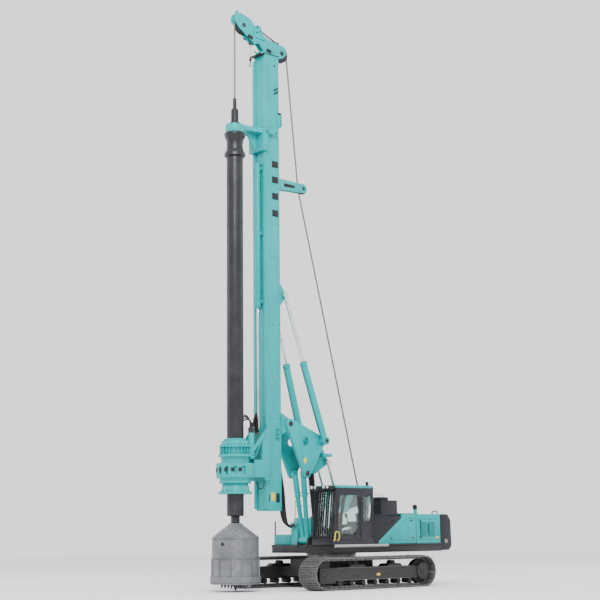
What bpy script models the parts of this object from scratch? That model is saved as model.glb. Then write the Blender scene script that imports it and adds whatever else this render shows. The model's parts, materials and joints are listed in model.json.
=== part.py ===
# Rotary piling rig on crawler tracks, standing ready to drill. Metres, +Z up.
# The front faces -Y, the cab is on the +X side, and the slewing axis is X = 0, Y = 0. The ground is Z = 0.
import math

import bmesh
import bpy
from mathutils import Matrix, Vector

# Overall sizes
TRACK_LENGTH = 5.28
TRACK_HEIGHT = 0.99
TRACK_CENTRE = 1.7625  # from the slewing axis to the middle of a shoe
SHOE_WIDTH = 0.80
DECK_HALF_WIDTH = 1.50
DECK_FRONT = -1.25
DECK_REAR = 3.63
DECK_BOTTOM = 1.10
DECK_TOP = 1.36
KELLY_REACH = 3.98  # from the slewing axis to the drilling axis
MAST_BOTTOM = 2.42
MAST_TOP = 17.25

# Clearances
SEAT = 0.0003  # between pieces that rest on or are bolted to each other
PIN_GAP = 0.0005  # beside an eye on its pin
ROD_GAP = 0.0019  # round a rod in its gland, corner to flat
PANEL_GAP = 0.006  # round a door or a lid
RUNNING = 0.006  # round a rod, a sleeve or a slide

# Door and lid hinges
KNUCKLE = 0.014
KNUCKLE_OUT = 0.0145  # from the panel's face to the hinge pin

# Tracks
BAND = 0.12  # shoe and link together
GROUSER = 0.030
SHOES = 42
SHOE_GAP = 0.22  # share of the pitch between two shoes
FRAME_WIDTH = 0.44
FRAME_LOW = 0.28
FRAME_HIGH = 0.67
FRAME_RAISE = 0.09
IDLER_WIDTH = 0.20
WHEEL_SIDES = 16
COVER_RADIUS = 0.27
COVER_PROUD = 0.07
LOWER_ROLLERS = 7
FIRST_ROLLER = -1.45
LAST_ROLLER = 1.65
TOP_ROLLERS = (-0.72, 0.94)
ROLLER_RADIUS = 0.085
ROLLER_GAP = 0.004

# Undercarriage
CAR_HALF = 0.95
CAR_LOW = 0.42
CAR_HIGH = 0.90
CAR_WALL = 0.06
AXLE_INNER = 0.45
AXLE_OUTER = 0.95
AXLE_LOW = 0.36
AXLE_HIGH = 0.66
RING_OUTER = 0.80
RING_INNER = 0.62

# Cab
CAB_INNER_X = 0.53
CAB_OUTER_X = 1.48
CAB_FRONT_LOW = -1.31
CAB_FRONT_HIGH = -1.13
CAB_REAR = 0.50
CAB_TOP = 3.17
CAB_WALL = 0.045
CAB_POST = 0.09
GLASS = 0.006
DOOR_THICK = 0.04
DOOR_REAR = -0.08
GUARD_THICK = 0.035

# Machinery house
HOUSE_FRONT = 2.47
HOUSE_TOP = 2.31
HOUSE_WALL = 0.03
CABINET_INNER_X = 0.60
CABINET_FRONT = 0.72
CABINET_SLOPE = 1.13  # how far back the sloping front reaches
EXHAUST = (1.15, HOUSE_FRONT + 0.30)
WINCH_Y = 1.78
WINCH_Z = 1.98
DRUM_RADIUS = 0.26
DRUM_FLANGE = 0.38
DRUM_HALF = 0.40
WEIGHT_REAR = 4.15

# Linkage pivots, as (Y, Z)
BOOM_FOOT = (-1.12, 1.50)
BOOM_TOP = (-1.36, 3.60)
LINK_OFFSET = (0.50, 0.12)  # the support link lies parallel to the boom, this far from it
MAST_HINGE = (-2.05, 5.15)
MAST_CYLINDER_FOOT = (-0.72, 4.65)
MAST_CYLINDER_HEAD = (-2.18, 9.30)
LUFF_FOOT = (0.45, 1.60)
LUFF_HEAD = (-0.37, 4.00)
LINK_FOOT = (BOOM_FOOT[0] + LINK_OFFSET[0], BOOM_FOOT[1] + LINK_OFFSET[1])
LINK_TOP = (BOOM_TOP[0] + LINK_OFFSET[0], BOOM_TOP[1] + LINK_OFFSET[1])

TRIANGLE_HOLE = (-1.42, 4.62)
TRIANGLE_BAR = (-1.02, 4.30)

# Linkage widths, from the middle plane
PLATE_INNER = 0.31
PLATE_OUTER = 0.41
BRACKET_INNER = 0.115
BRACKET_OUTER = 0.165
BOOM_FOOT_HALF = 0.20
BOOM_EYE_INNER = 0.185
LUFF_SIDE = 0.27
MAST_CYLINDER_FOOT_SIDE = 0.54

# Cylinders: radii, barrel length from the foot pin, rod length from the head pin
MAST_CYLINDER = {"barrel": 0.11, "bore": 0.075, "rod": 0.06, "barrel_length": 2.62, "rod_length": 2.62}
LUFF_CYLINDER = {"barrel": 0.095, "bore": 0.065, "rod": 0.05, "barrel_length": 1.55, "rod_length": 1.30}
CROWD_CYLINDER = {"barrel": 0.095, "bore": 0.060, "rod": 0.045}
CROWD_BARREL_LOW = 8.82
CROWD_BARREL_HIGH = MAST_TOP - 3.65
CROWD_ROD_TOP = 9.35

GLAND = 0.08

# Mast
MAST_HALF = 0.25
MAST_FRONT = -2.93
MAST_REAR = -2.32
MAST_WALL = 0.014
RAIL_INNER = 0.19
RAIL_OUTER = 0.31
RAIL_THICK = 0.05
MAST_LUG = 0.15
HEAD_BRACKET = MAST_HALF + 0.006
HEAD_EYE_GAP = 0.011
MAST_CYLINDER_HEAD_SIDE = HEAD_BRACKET + 0.064
HEAD_PLATE_INNER = 0.065
HEAD_PLATE_OUTER = 0.115
SHEAVE_RADIUS = 0.30
FRONT_SHEAVE = (-KELLY_REACH + SHEAVE_RADIUS, MAST_TOP + 0.90)
REAR_SHEAVE = (-2.05, MAST_TOP + 0.30)
GUIDE_PULLEY = (-1.12, MAST_TOP - 4.20)
GUIDE_PULLEY_RADIUS = 0.18
PULLEY_ARM_INNER = 0.055

# Power head
CARRIAGE_HALF = 0.37
CARRIAGE_LOW = 3.35
CARRIAGE_HIGH = 4.95
CARRIAGE_THICK = 0.11
CRADLE_LOW = 3.42
CRADLE_HIGH = 3.86
CRADLE_RADIUS = 0.59
GEARBOX_LOW = 3.25
GEARBOX_TOP = 4.55
SLEEVE_RADIUS = 0.335
FLANGE_LOW = 2.93
FLANGE_RADIUS = 0.52
SLEEVE_TOP = 4.62
LIP_RADIUS = 0.365  # the sleeve hangs from this lip on the gearbox's top
HEAD_SIDES = 24

# Kelly bar and tool
KELLY_RADIUS = 0.265
KELLY_WALL = 0.04
KELLY_LOW = 2.26
COLLAR_LOW = MAST_TOP - 3.62
COLLAR_HIGH = COLLAR_LOW + 0.80
COLLAR_RADIUS = 0.34
COLLAR_WAIST = 0.21
GUIDE_TOP = COLLAR_HIGH + 0.27
SWIVEL_BODY_TOP = GUIDE_TOP + 0.50
SWIVEL_TOP = GUIDE_TOP + 0.90
STUB_HALF = 0.10
BUCKET_TOP = 2.05
BUCKET_SHOULDER = 1.63
BUCKET_RADIUS = 0.716
RIM_RADIUS = 0.775
RIM_TOP = 0.45
RIM_LOW = 0.28
BUCKET_WALL = 0.022
LID_THICK = 0.05
TOOL_LOW = 0.03
TEETH = 8

# Colours: colour, roughness, metallic
PAINTS = {
    "teal": ((0.09, 0.56, 0.56), 0.35, 0.0),
    "dark_grey": ((0.07, 0.075, 0.09), 0.5, 0.0),
    "kelly_grey": ((0.075, 0.078, 0.088), 0.45, 0.6),
    "steel": ((0.26, 0.28, 0.30), 0.5, 0.7),
    "chrome": ((0.80, 0.80, 0.82), 0.12, 1.0),
    "track": ((0.045, 0.045, 0.048), 0.6, 0.6),
    "glass": ((0.55, 0.68, 0.68), 0.05, 0.0),
    "black": ((0.02, 0.02, 0.022), 0.6, 0.0),
}


def add_object(name, shape):
    """An object from a bmesh whose faces are turned outwards."""
    bmesh.ops.recalc_face_normals(shape, faces=shape.faces)
    mesh = bpy.data.meshes.new(name)
    shape.to_mesh(mesh)
    shape.free()
    piece = bpy.data.objects.new(name, mesh)
    bpy.context.scene.collection.objects.link(piece)
    return piece


def box(name, low, high):
    shape = bmesh.new()
    bmesh.ops.create_cube(shape, size=1)
    for vertex in shape.verts:
        vertex.co = [a + (b - a) * (c + 0.5) for a, b, c in zip(low, high, vertex.co)]
    return add_object(name, shape)


def prism(name, outline, low, high, axis="X"):
    """A flat outline pushed along an axis. The outline is (Y, Z) for X, (X, Z) for Y, or (X, Y) for Z."""
    def point(a, b, along):
        return {"X": (along, a, b), "Y": (a, along, b), "Z": (a, b, along)}[axis]

    shape = bmesh.new()
    ends = [[shape.verts.new(point(a, b, along)) for a, b in outline] for along in (low, high)]
    for end in ends:
        shape.faces.new(end)
    for index in range(len(outline)):
        after = (index + 1) % len(outline)
        shape.faces.new((ends[0][index], ends[0][after], ends[1][after], ends[1][index]))
    return add_object(name, shape)


def turned(name, profile, base, direction, sides=20):
    """A ring or a solid of revolution. The profile is a closed loop of (radius, distance along the axis)."""
    turn = Vector((0, 0, 1)).rotation_difference(Vector(direction).normalized()).to_matrix()
    shape = bmesh.new()
    rings = []
    for radius, along in profile:
        if radius == 0:
            rings.append([shape.verts.new(turn @ Vector((0, 0, along)) + Vector(base))])
            continue
        angles = [math.tau * (side + 0.5) / sides for side in range(sides)]
        points = [(radius * math.cos(angle), radius * math.sin(angle), along) for angle in angles]
        rings.append([shape.verts.new(turn @ Vector(point) + Vector(base)) for point in points])
    for here, there in zip(rings, rings[1:] + rings[:1]):
        if len(here) == len(there) == 1:
            continue
        for side in range(sides):
            after = (side + 1) % sides
            corners = [here[side % len(here)], here[after % len(here)]]
            corners += [there[after % len(there)], there[side % len(there)]]
            shape.faces.new(list(dict.fromkeys(corners)))
    return add_object(name, shape)


def rod(name, start, end, radius, sides=12):
    length = (Vector(end) - Vector(start)).length
    profile = [(0, 0), (radius, 0), (radius, length), (0, length)]
    return turned(name, profile, start, Vector(end) - Vector(start), sides)


def across(name, point, low, high, radius, sides=16):
    """A round bar along X through a (Y, Z) point."""
    return rod(name, (low, *point), (high, *point), radius, sides)


def combine(piece, others, operation, solver="EXACT"):
    """Joins or cuts a piece with others, and takes the others away."""
    for other in others:
        step = piece.modifiers.new(operation.title(), "BOOLEAN")
        step.operation = operation
        step.solver = solver
        step.object = other
    bpy.context.view_layer.update()
    graph = bpy.context.evaluated_depsgraph_get()
    result = bpy.data.meshes.new_from_object(piece.evaluated_get(graph))
    piece.modifiers.clear()
    plain = piece.data
    piece.data = result
    result.name = piece.name
    bpy.data.meshes.remove(plain)
    for other in others:
        bpy.data.objects.remove(other)
    return piece


def join(piece, *others):
    return combine(piece, others, "UNION")


def cut(piece, *others):
    return combine(piece, others, "DIFFERENCE")


def inset(outline, distance):
    """A convex outline moved inwards by a distance, or outwards by a negative one."""
    middle = sum((Vector(point) for point in outline), Vector((0, 0))) / len(outline)
    lines = []
    for start, end in zip(outline, outline[1:] + outline[:1]):
        along = (Vector(end) - Vector(start)).normalized()
        inward = Vector((-along.y, along.x))
        if inward.dot(middle - Vector(start)) < 0:
            inward = -inward
        lines.append((Vector(start) + inward * distance, along))
    moved = []
    for (p, u), (q, v) in zip(lines[-1:] + lines[:-1], lines):
        share = ((q - p).x * v.y - (q - p).y * v.x) / (u.x * v.y - u.y * v.x)
        moved.append(tuple(p + u * share))
    return moved


def round_hull(circles, sides=16):
    """The outline of a band stretched round circles, each (Y, Z, radius)."""
    points = []
    for y, z, radius in circles:
        for side in range(sides):
            angle = math.tau * side / sides
            points.append((y + radius * math.cos(angle), z + radius * math.sin(angle)))
    points.sort()
    halves = []
    for order in (points, points[::-1]):
        half = []
        for point in order:
            while len(half) > 1 and cross(half[-2], half[-1], point) <= 1e-9:
                half.pop()
            half.append(point)
        halves += half[:-1]
    return halves


def cross(a, b, c):
    return (b[0] - a[0]) * (c[1] - a[1]) - (b[1] - a[1]) * (c[0] - a[0])


def paint(piece, name):
    colour, roughness, metallic = PAINTS[name]
    material = bpy.data.materials.new(piece.name)
    material.use_nodes = True
    shader = material.node_tree.nodes["Principled BSDF"]
    shader.inputs["Base Color"].default_value = (*colour, 1)
    shader.inputs["Roughness"].default_value = roughness
    shader.inputs["Metallic"].default_value = metallic
    piece.data.materials.clear()
    piece.data.materials.append(material)
    piece.data.shade_smooth()
    piece.data.set_sharp_from_angle(angle=math.radians(35))


def place(piece, axis_empty, paint_name):
    """Paints a finished piece, puts its origin on its body's axis and parents it there."""
    paint(piece, paint_name)
    origin = AXES[axis_empty.name]
    piece.data.transform(Matrix.Translation(-origin))
    piece.parent = axis_empty


def axis(name, position, parent=None):
    """An empty on a body's joint axis."""
    empty = bpy.data.objects.new(name, None)
    bpy.context.scene.collection.objects.link(empty)
    AXES[name] = Vector(position)
    empty.parent = parent
    empty.location = AXES[name] - (AXES[parent.name] if parent else Vector())
    return empty


AXES = {}


def plates(name, outline, inner, outer):
    """A left and a right plate of one outline."""
    return [prism(name, outline, low, high) for low, high in ((inner, outer), (-outer, -inner))]


def knuckles(panel, carrier, point, outward, towards_panel, direction, spans):
    """Hinge knuckles with leaves: the middle span on the panel, and the two beside it on its carrier."""
    base, out, way = Vector(point), Vector(outward), Vector(direction)
    side = Vector(towards_panel)
    low, first, second, high = spans

    def leaf(start, end, towards):
        pin = base + out * KNUCKLE_OUT
        bar = rod("knuckle", pin + way * start, pin + way * end, KNUCKLE, 12)
        one = base + way * start - out * 0.003
        other = base + way * end + out * 0.006 + towards * 0.05
        corners = [[f(a, b) for a, b in zip(one, other)] for f in (min, max)]
        return join(bar, box("leaf", *corners))

    panel = join(panel, leaf(first, second, side))
    carrier = join(carrier, leaf(low, first - PIN_GAP, -side), leaf(second + PIN_GAP, high, -side))
    return panel, carrier


def track_outline():
    """The shoes in outline, going round the track, as (Y, Z)."""
    radius = TRACK_HEIGHT / 2 - GROUSER
    straight = TRACK_LENGTH - TRACK_HEIGHT
    total = 2 * straight + math.tau * (radius + GROUSER / 2)

    def at(distance, out):
        distance %= total
        arc = (total - 2 * straight) / 2
        r = radius + out
        if distance < straight:
            return (straight / 2 - distance, TRACK_HEIGHT / 2 - r)
        distance -= straight
        if distance < arc:
            angle = -math.pi / 2 - math.pi * distance / arc
            return (-straight / 2 + r * math.cos(angle), TRACK_HEIGHT / 2 + r * math.sin(angle))
        distance -= arc
        if distance < straight:
            return (-straight / 2 + distance, TRACK_HEIGHT / 2 + r)
        angle = math.pi / 2 - math.pi * (distance - straight) / arc
        return (straight / 2 + r * math.cos(angle), TRACK_HEIGHT / 2 + r * math.sin(angle))

    pitch = total / SHOES
    points = []
    for shoe in range(SHOES):
        start = shoe * pitch
        points += [at(start, GROUSER), at(start + pitch * (1 - SHOE_GAP), GROUSER)]
        points += [at(start + pitch * (1 - SHOE_GAP), 0), at(start + pitch, 0)]
    return points


def stadium(half_straight, radius, steps=WHEEL_SIDES // 2):
    """An outline with round ends about the wheels' height."""
    points = []
    for side, first in ((1, -math.pi / 2), (-1, math.pi / 2)):
        for step in range(steps + 1):
            angle = first + math.pi * step / steps
            y = side * half_straight + radius * math.cos(angle)
            points.append((y, TRACK_HEIGHT / 2 + radius * math.sin(angle)))
    return points


def build_track(side, root):
    """One crawler: the shoe band, and the frame with its idler, rollers and final drive."""
    name = "left" if side > 0 else "right"
    middle = side * TRACK_CENTRE
    wheel_y = (TRACK_LENGTH - TRACK_HEIGHT) / 2
    wheel_z = TRACK_HEIGHT / 2
    band_inner = TRACK_HEIGHT / 2 - BAND
    low, high = middle - SHOE_WIDTH / 2, middle + SHOE_WIDTH / 2
    band = prism("track_" + name, track_outline(), low, high)
    hollow = prism("hollow", stadium(wheel_y, band_inner), low - 0.1, high + 0.1)
    place(cut(band, hollow), root, "track")

    low, high = middle - FRAME_WIDTH / 2, middle + FRAME_WIDTH / 2
    front, rear = -wheel_y, wheel_y
    raised = FRAME_HIGH + FRAME_RAISE
    outline = [
        (front - 0.16, 0.20), (front + 0.45, 0.20), (front + 0.52, FRAME_LOW), (rear - 0.10, FRAME_LOW),
        (rear + 0.10, 0.36), (rear + 0.10, 0.63), (rear - 0.26, FRAME_HIGH), (1.25, FRAME_HIGH),
        (1.18, raised), (0.70, raised), (0.55, FRAME_HIGH), (-0.35, FRAME_HIGH), (-0.45, raised),
        (-0.98, raised), (-1.12, FRAME_HIGH), (front - 0.16, FRAME_HIGH),
    ]
    frame = prism("track_frame_" + name, outline, low, high)
    slots = []
    wheels = []
    wheel_radius = band_inner * math.cos(math.pi / WHEEL_SIDES) - SEAT
    for place_y in (front, rear):
        towards = 1 if place_y < 0 else -1
        reach = sorted((place_y - towards * 0.4, place_y + towards * (wheel_radius + 0.06)))
        half = IDLER_WIDTH / 2 + 0.02
        slots.append(box("slot", (middle - half, reach[0], 0.1), (middle + half, reach[1], 0.9)))
        rim = IDLER_WIDTH / 2
        profile = [(0, -half - 0.02), (0.10, -half - 0.02), (0.10, -rim), (wheel_radius, -rim)]
        profile += [(wheel_radius, rim), (0.10, rim), (0.10, half + 0.02), (0, half + 0.02)]
        wheels.append(turned("wheel", profile, (middle, place_y, wheel_z), (1, 0, 0), WHEEL_SIDES))
    cover_face = middle + side * FRAME_WIDTH / 2
    ends = sorted((cover_face - side * 0.05, cover_face + side * COVER_PROUD))
    cover = across("cover", (rear, wheel_z), *ends, COVER_RADIUS, 20)
    rollers = []
    roller_low = BAND + ROLLER_RADIUS + ROLLER_GAP
    for index in range(LOWER_ROLLERS):
        y = FIRST_ROLLER + index * (LAST_ROLLER - FIRST_ROLLER) / (LOWER_ROLLERS - 1)
        rollers.append(across("roller", (y, roller_low), low + 0.05, high - 0.05, ROLLER_RADIUS, 8))
    for y in TOP_ROLLERS:
        roller_high = TRACK_HEIGHT - roller_low
        rollers.append(across("roller", (y, roller_high), low + 0.10, high - 0.10, ROLLER_RADIUS, 8))
    frame = join(cut(frame, *slots), cover, *wheels, *rollers)
    place(frame, root, "dark_grey")


def build_undercarriage(root):
    build_track(1, root)
    build_track(-1, root)
    reach = TRACK_CENTRE - FRAME_WIDTH / 2 - SEAT
    body = box("car_body", (-CAR_HALF, -CAR_HALF, CAR_LOW), (CAR_HALF, CAR_HALF, CAR_HIGH))
    beams = []
    for low, high in ((-AXLE_OUTER + 0.01, -AXLE_INNER), (AXLE_INNER, AXLE_OUTER - 0.01)):
        beams.append(box("axle", (-reach, low, AXLE_LOW), (reach, high, AXLE_HIGH)))
    wall = CAR_WALL
    low = (-CAR_HALF + wall, -AXLE_INNER + wall, 0)
    hollows = [box("pocket", low, (CAR_HALF - wall, AXLE_INNER - wall, CAR_HIGH - wall))]
    for low, high in ((-AXLE_OUTER + 0.01, -AXLE_INNER), (AXLE_INNER, AXLE_OUTER - 0.01)):
        top = (reach - wall, high - wall, AXLE_HIGH - wall)
        hollows.append(box("pocket", (-reach + wall, low + wall, 0), top))
    place(cut(join(body, *beams), *hollows), root, "dark_grey")
    low, high = CAR_HIGH + SEAT, DECK_BOTTOM - SEAT
    ring = [(RING_INNER, low), (RING_OUTER, low), (RING_OUTER, high), (RING_INNER, high)]
    place(turned("slewing_ring", ring, (0, 0, 0), (0, 0, 1), 28), root, "steel")


def lugs(pivot, inner, outer, radius, spread):
    """A pair of deck lugs that hold a pin at a pivot."""
    y, z = pivot
    base = DECK_TOP - 0.05
    outline = round_hull([(y, z, radius), (y - spread, base, 0.01), (y + spread, base, 0.01)])
    return plates("lug", outline, inner, outer)


def build_platform(upper):
    low = (-DECK_HALF_WIDTH, DECK_FRONT, DECK_BOTTOM)
    deck = box("platform", low, (DECK_HALF_WIDTH, DECK_REAR, DECK_TOP))
    pockets = []
    rib, plate = 0.04, 0.03
    edge, ring = DECK_HALF_WIDTH - rib, RING_OUTER + 0.02
    columns = (-edge, -ring, -0.42, 0.42, ring, edge)
    rows = (DECK_FRONT + rib, -ring, ring, 2.2, DECK_REAR - rib)
    for west, east in zip(columns, columns[1:]):
        for south, north in zip(rows, rows[1:]):
            if abs(west + east) < 2 * RING_OUTER and south < 0 < north:
                continue
            low = (west + rib / 2, south + rib / 2, DECK_BOTTOM - 0.1)
            pockets.append(box("pocket", low, (east - rib / 2, north - rib / 2, DECK_TOP - plate)))
    lifts = lugs(BOOM_FOOT, BOOM_FOOT_HALF + PIN_GAP, BOOM_FOOT_HALF + 0.06, 0.11, 0.16)
    lifts += lugs(LINK_FOOT, BRACKET_INNER, BRACKET_OUTER, 0.11, 0.16)
    lifts += lugs(LUFF_FOOT, 0.10, BRACKET_OUTER, 0.11, 0.16)
    deck = join(cut(deck, *pockets), *lifts)
    place(deck, upper, "dark_grey")


def cab_outline():
    return [
        (CAB_FRONT_LOW, DECK_TOP + SEAT), (CAB_REAR, DECK_TOP + SEAT), (CAB_REAR, CAB_TOP),
        (CAB_FRONT_HIGH + 0.09, CAB_TOP), (CAB_FRONT_HIGH, CAB_TOP - 0.05),
    ]


def cab_front_at(z):
    share = (z - DECK_TOP) / (CAB_TOP - 0.05 - DECK_TOP)
    return CAB_FRONT_LOW + (CAB_FRONT_HIGH - CAB_FRONT_LOW) * share


def build_cab(upper, door_axis):
    cab = prism("cab", cab_outline(), CAB_INNER_X, CAB_OUTER_X)
    room = prism("room", inset(cab_outline(), CAB_WALL), CAB_INNER_X + CAB_WALL, CAB_OUTER_X - CAB_WALL)
    cab = cut(cab, room)
    side_low, side_high = CAB_INNER_X + CAB_POST, CAB_OUTER_X - CAB_POST
    pane_low, pane_high = 1.62, CAB_TOP - 0.14
    sill = CAB_TOP - 0.20
    front_low = (side_low, CAB_FRONT_LOW - 0.1, pane_low)
    front = box("front", front_low, (side_high, CAB_FRONT_HIGH + 0.2, pane_high))
    rear = box("rear", (side_low, CAB_REAR - 0.1, 2.15), (side_high, CAB_REAR + 0.1, sill))
    right_low = (CAB_INNER_X - 0.1, -0.98, 1.75)
    right = box("right", right_low, (CAB_INNER_X + 0.1, CAB_REAR - 0.12, sill))
    roof_low = (side_low + 0.08, -0.85, CAB_TOP - 0.1)
    roof = box("roof", roof_low, (side_high - 0.08, -0.30, CAB_TOP + 0.1))
    post = CAB_REAR - CAB_POST
    quarter_outline = [(0.02, 2.02), (post, 2.12), (post, 2.88), (0.02, 2.88)]
    quarter = prism("quarter", quarter_outline, CAB_OUTER_X - 0.1, CAB_OUTER_X + 0.1)
    door_low, door_high = 1.50, 2.99
    door_outline = [
        (cab_front_at(door_low) + 0.09, door_low), (DOOR_REAR, door_low), (DOOR_REAR, door_high),
        (cab_front_at(door_high) + 0.09, door_high),
    ]
    doorway = prism("doorway", inset(door_outline, -PANEL_GAP), CAB_OUTER_X - 0.2, CAB_OUTER_X + 0.1)
    cab = cut(cab, front, rear, right, roof, quarter, doorway)

    door = prism("cab_door", door_outline, CAB_OUTER_X - DOOR_THICK, CAB_OUTER_X)
    low, high, edge = 1.66, 2.91, DOOR_REAR - 0.08
    window_outline = [
        (cab_front_at(low) + 0.17, low), (-0.34, low), (edge, 1.95), (edge, high),
        (cab_front_at(high) + 0.17, high),
    ]
    door = cut(door, prism("window", window_outline, CAB_OUTER_X - 0.2, CAB_OUTER_X + 0.1))
    hinge = (CAB_OUTER_X, DOOR_REAR + PANEL_GAP / 2, 0)
    door, cab = knuckles(door, cab, hinge, (1, 0, 0), (0, -1, 0), (0, 0, 1), (1.60, 1.72, 2.72, 2.84))
    place(cab, upper, "dark_grey")
    place(door, door_axis, "dark_grey")
    pane_x = CAB_OUTER_X - 0.023
    pane = prism("door_glass", inset(window_outline, SEAT), pane_x, pane_x + GLASS)
    place(pane, door_axis, "glass")

    def sloping(low, high, near, far):
        """A slab's outline along the sloping front, from one depth behind it to another."""
        corners = ((low, near), (high, near), (high, far), (low, far))
        return [(cab_front_at(z) + deep, z) for z, deep in corners]

    outline = sloping(pane_low + SEAT, pane_high - SEAT, 0.02, 0.02 + GLASS)
    place(prism("windscreen", outline, side_low + SEAT, side_high - SEAT), upper, "glass")

    low, high = 1.48, 3.06
    outline = sloping(low, high, -2 * SEAT, -GUARD_THICK)
    guard = prism("cab_guard", outline, CAB_INNER_X + 0.03, CAB_OUTER_X - 0.03)
    slots, bars = [], 8
    pitch = (CAB_OUTER_X - CAB_INNER_X - 0.12) / bars
    for index in range(bars):
        west = CAB_INNER_X + 0.06 + index * pitch + 0.012
        corner = (west, CAB_FRONT_LOW - 0.2, low + 0.05)
        slots.append(box("slot", corner, (west + pitch - 0.024, 0, high - 0.05)))
    place(cut(guard, *slots), upper, "black")

    floor = DECK_TOP + SEAT + CAB_WALL
    middle = (CAB_INNER_X + CAB_OUTER_X) / 2
    seat = box("operator_seat", (middle - 0.18, -0.42, floor + SEAT), (middle + 0.18, 0.02, floor + 0.34))
    cushion = box("cushion", (middle - 0.24, -0.48, floor + 0.30), (middle + 0.24, 0.06, floor + 0.46))
    back_outline = [(-0.02, floor + 0.40), (0.12, floor + 0.40), (0.26, floor + 1.10), (0.16, floor + 1.12)]
    rest = prism("rest", back_outline, middle - 0.23, middle + 0.23)
    pads = [box("console", (middle + side * 0.33 - 0.07, -0.45, floor + 0.42),
                (middle + side * 0.33 + 0.07, 0.05, floor + 0.62)) for side in (-1, 1)]
    struts = [box("strut", (middle + min(side * 0.35, 0), -0.20, floor + 0.40),
                  (middle + max(side * 0.35, 0), -0.10, floor + 0.45)) for side in (-1, 1)]
    place(join(seat, cushion, rest, *pads, *struts), upper, "black")


def build_house(upper, door_axes, hood_axis):
    floor = DECK_TOP + SEAT
    for side, name in ((1, "left"), (-1, "right")):
        ends = sorted((side * CABINET_INNER_X, side * (DECK_HALF_WIDTH - 0.02)))
        rear = HOUSE_FRONT - 0.02
        outline = [
            (CABINET_FRONT, floor), (rear, floor), (rear, HOUSE_TOP),
            (CABINET_FRONT + CABINET_SLOPE, HOUSE_TOP),
            (CABINET_FRONT + CABINET_SLOPE - 0.12, HOUSE_TOP - 0.16), (CABINET_FRONT, floor + 0.09),
        ]
        inner = inset(outline, HOUSE_WALL)
        inner = [(y, z - 0.2 if z < floor + HOUSE_WALL + 0.001 else z) for y, z in inner]
        hollow = prism("hollow", inner, ends[0] + HOUSE_WALL, ends[1] - HOUSE_WALL)
        place(cut(prism("side_cabinet_" + name, outline, *ends), hollow), upper, "teal")

    half = DECK_HALF_WIDTH - 0.02
    rear = DECK_REAR - 0.02
    house = box("engine_house", (-half, HOUSE_FRONT, floor), (half, rear, HOUSE_TOP))
    hollow = box("hollow", (-half + HOUSE_WALL, HOUSE_FRONT + HOUSE_WALL, floor - 0.1),
                 (half - HOUSE_WALL, rear - HOUSE_WALL, HOUSE_TOP - HOUSE_WALL))
    house = cut(house, hollow)
    door_low, door_high = (HOUSE_FRONT + 0.09, floor + 0.12), (rear - 0.10, HOUSE_TOP - 0.18)
    gap = PANEL_GAP
    doorway = box("doorway", (-half - 0.1, door_low[0] - gap, door_low[1] - gap),
                  (half + 0.1, door_high[0] + gap, door_high[1] + gap))
    hood_low, hood_high = (-0.95, HOUSE_FRONT + 0.10), (0.95, rear - 0.10)
    top_way = box("top_way", (hood_low[0] - gap, hood_low[1] - gap, HOUSE_TOP - 0.1),
                  (hood_high[0] + gap, hood_high[1] + gap, HOUSE_TOP + 0.1))
    house = cut(house, doorway, top_way)
    for side, name in ((1, "left"), (-1, "right")):
        ends = sorted((side * half, side * (half - HOUSE_WALL)))
        door = box("engine_door_" + name, (ends[0], *door_low), (ends[1], *door_high))
        hinge = (side * half, door_high[0] + gap / 2, 0)
        middle = (door_low[1] + door_high[1]) / 2
        spans = (middle - 0.20, middle - 0.12, middle + 0.12, middle + 0.20)
        door, house = knuckles(door, house, hinge, (side, 0, 0), (0, -1, 0), (0, 0, 1), spans)
        place(door, door_axes[name], "teal")
    hood = box("engine_hood", (*hood_low, HOUSE_TOP - HOUSE_WALL), (*hood_high, HOUSE_TOP))
    hinge = (0, hood_high[1] + gap / 2, HOUSE_TOP)
    hood, house = knuckles(hood, house, hinge, (0, 0, 1), (0, -1, 0), (1, 0, 0), (-0.5, -0.4, 0.4, 0.5))
    place(hood, hood_axis, "teal")
    x, y = EXHAUST
    pipe = rod("pipe", (x, y, HOUSE_TOP - 0.02), (x, y, HOUSE_TOP + 0.22), 0.06)
    place(join(house, pipe), upper, "teal")

    block = box("engine_block", (-0.55, HOUSE_FRONT + 0.20, floor), (0.55, rear - 0.20, floor + 0.66))
    place(block, upper, "steel")
    front = DECK_REAR + SEAT
    low = DECK_BOTTOM + 0.02
    outline = [
        (front, low), (WEIGHT_REAR - 0.13, low), (WEIGHT_REAR, low + 0.14),
        (WEIGHT_REAR - 0.03, HOUSE_TOP - 0.20), (WEIGHT_REAR - 0.17, HOUSE_TOP), (front, HOUSE_TOP),
    ]
    weight = prism("counterweight", outline, -DECK_HALF_WIDTH, DECK_HALF_WIDTH)
    place(weight, upper, "dark_grey")

    slope_end = CABINET_FRONT + CABINET_SLOPE
    shelf = box("service_shelf", (0.66, 0.60, HOUSE_TOP - 0.06), (1.42, slope_end - SEAT, HOUSE_TOP))
    legs = [box("leg", (x, 0.60, floor), (x + 0.05, 0.65, HOUSE_TOP - 0.03)) for x in (0.66, 1.37)]
    case = box("case", (0.66, 0.92, HOUSE_TOP - 0.01), (1.40, 1.66, HOUSE_TOP + 0.44))
    trim = box("trim", (0.5, slope_end - 0.15, HOUSE_TOP - 0.2), (1.6, slope_end + 0.15, HOUSE_TOP - 0.0001))
    shelf = join(cut(shelf, trim), *legs, case)
    place(shelf, upper, "dark_grey")

    tank = box("fuel_tank", (-1.45, -0.34, floor), (-0.58, 0.64, floor + 0.86))
    step = box("step", (-1.45, -1.20, floor), (-0.62, -0.30, floor + 0.32))
    place(join(tank, step), upper, "teal")


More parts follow.
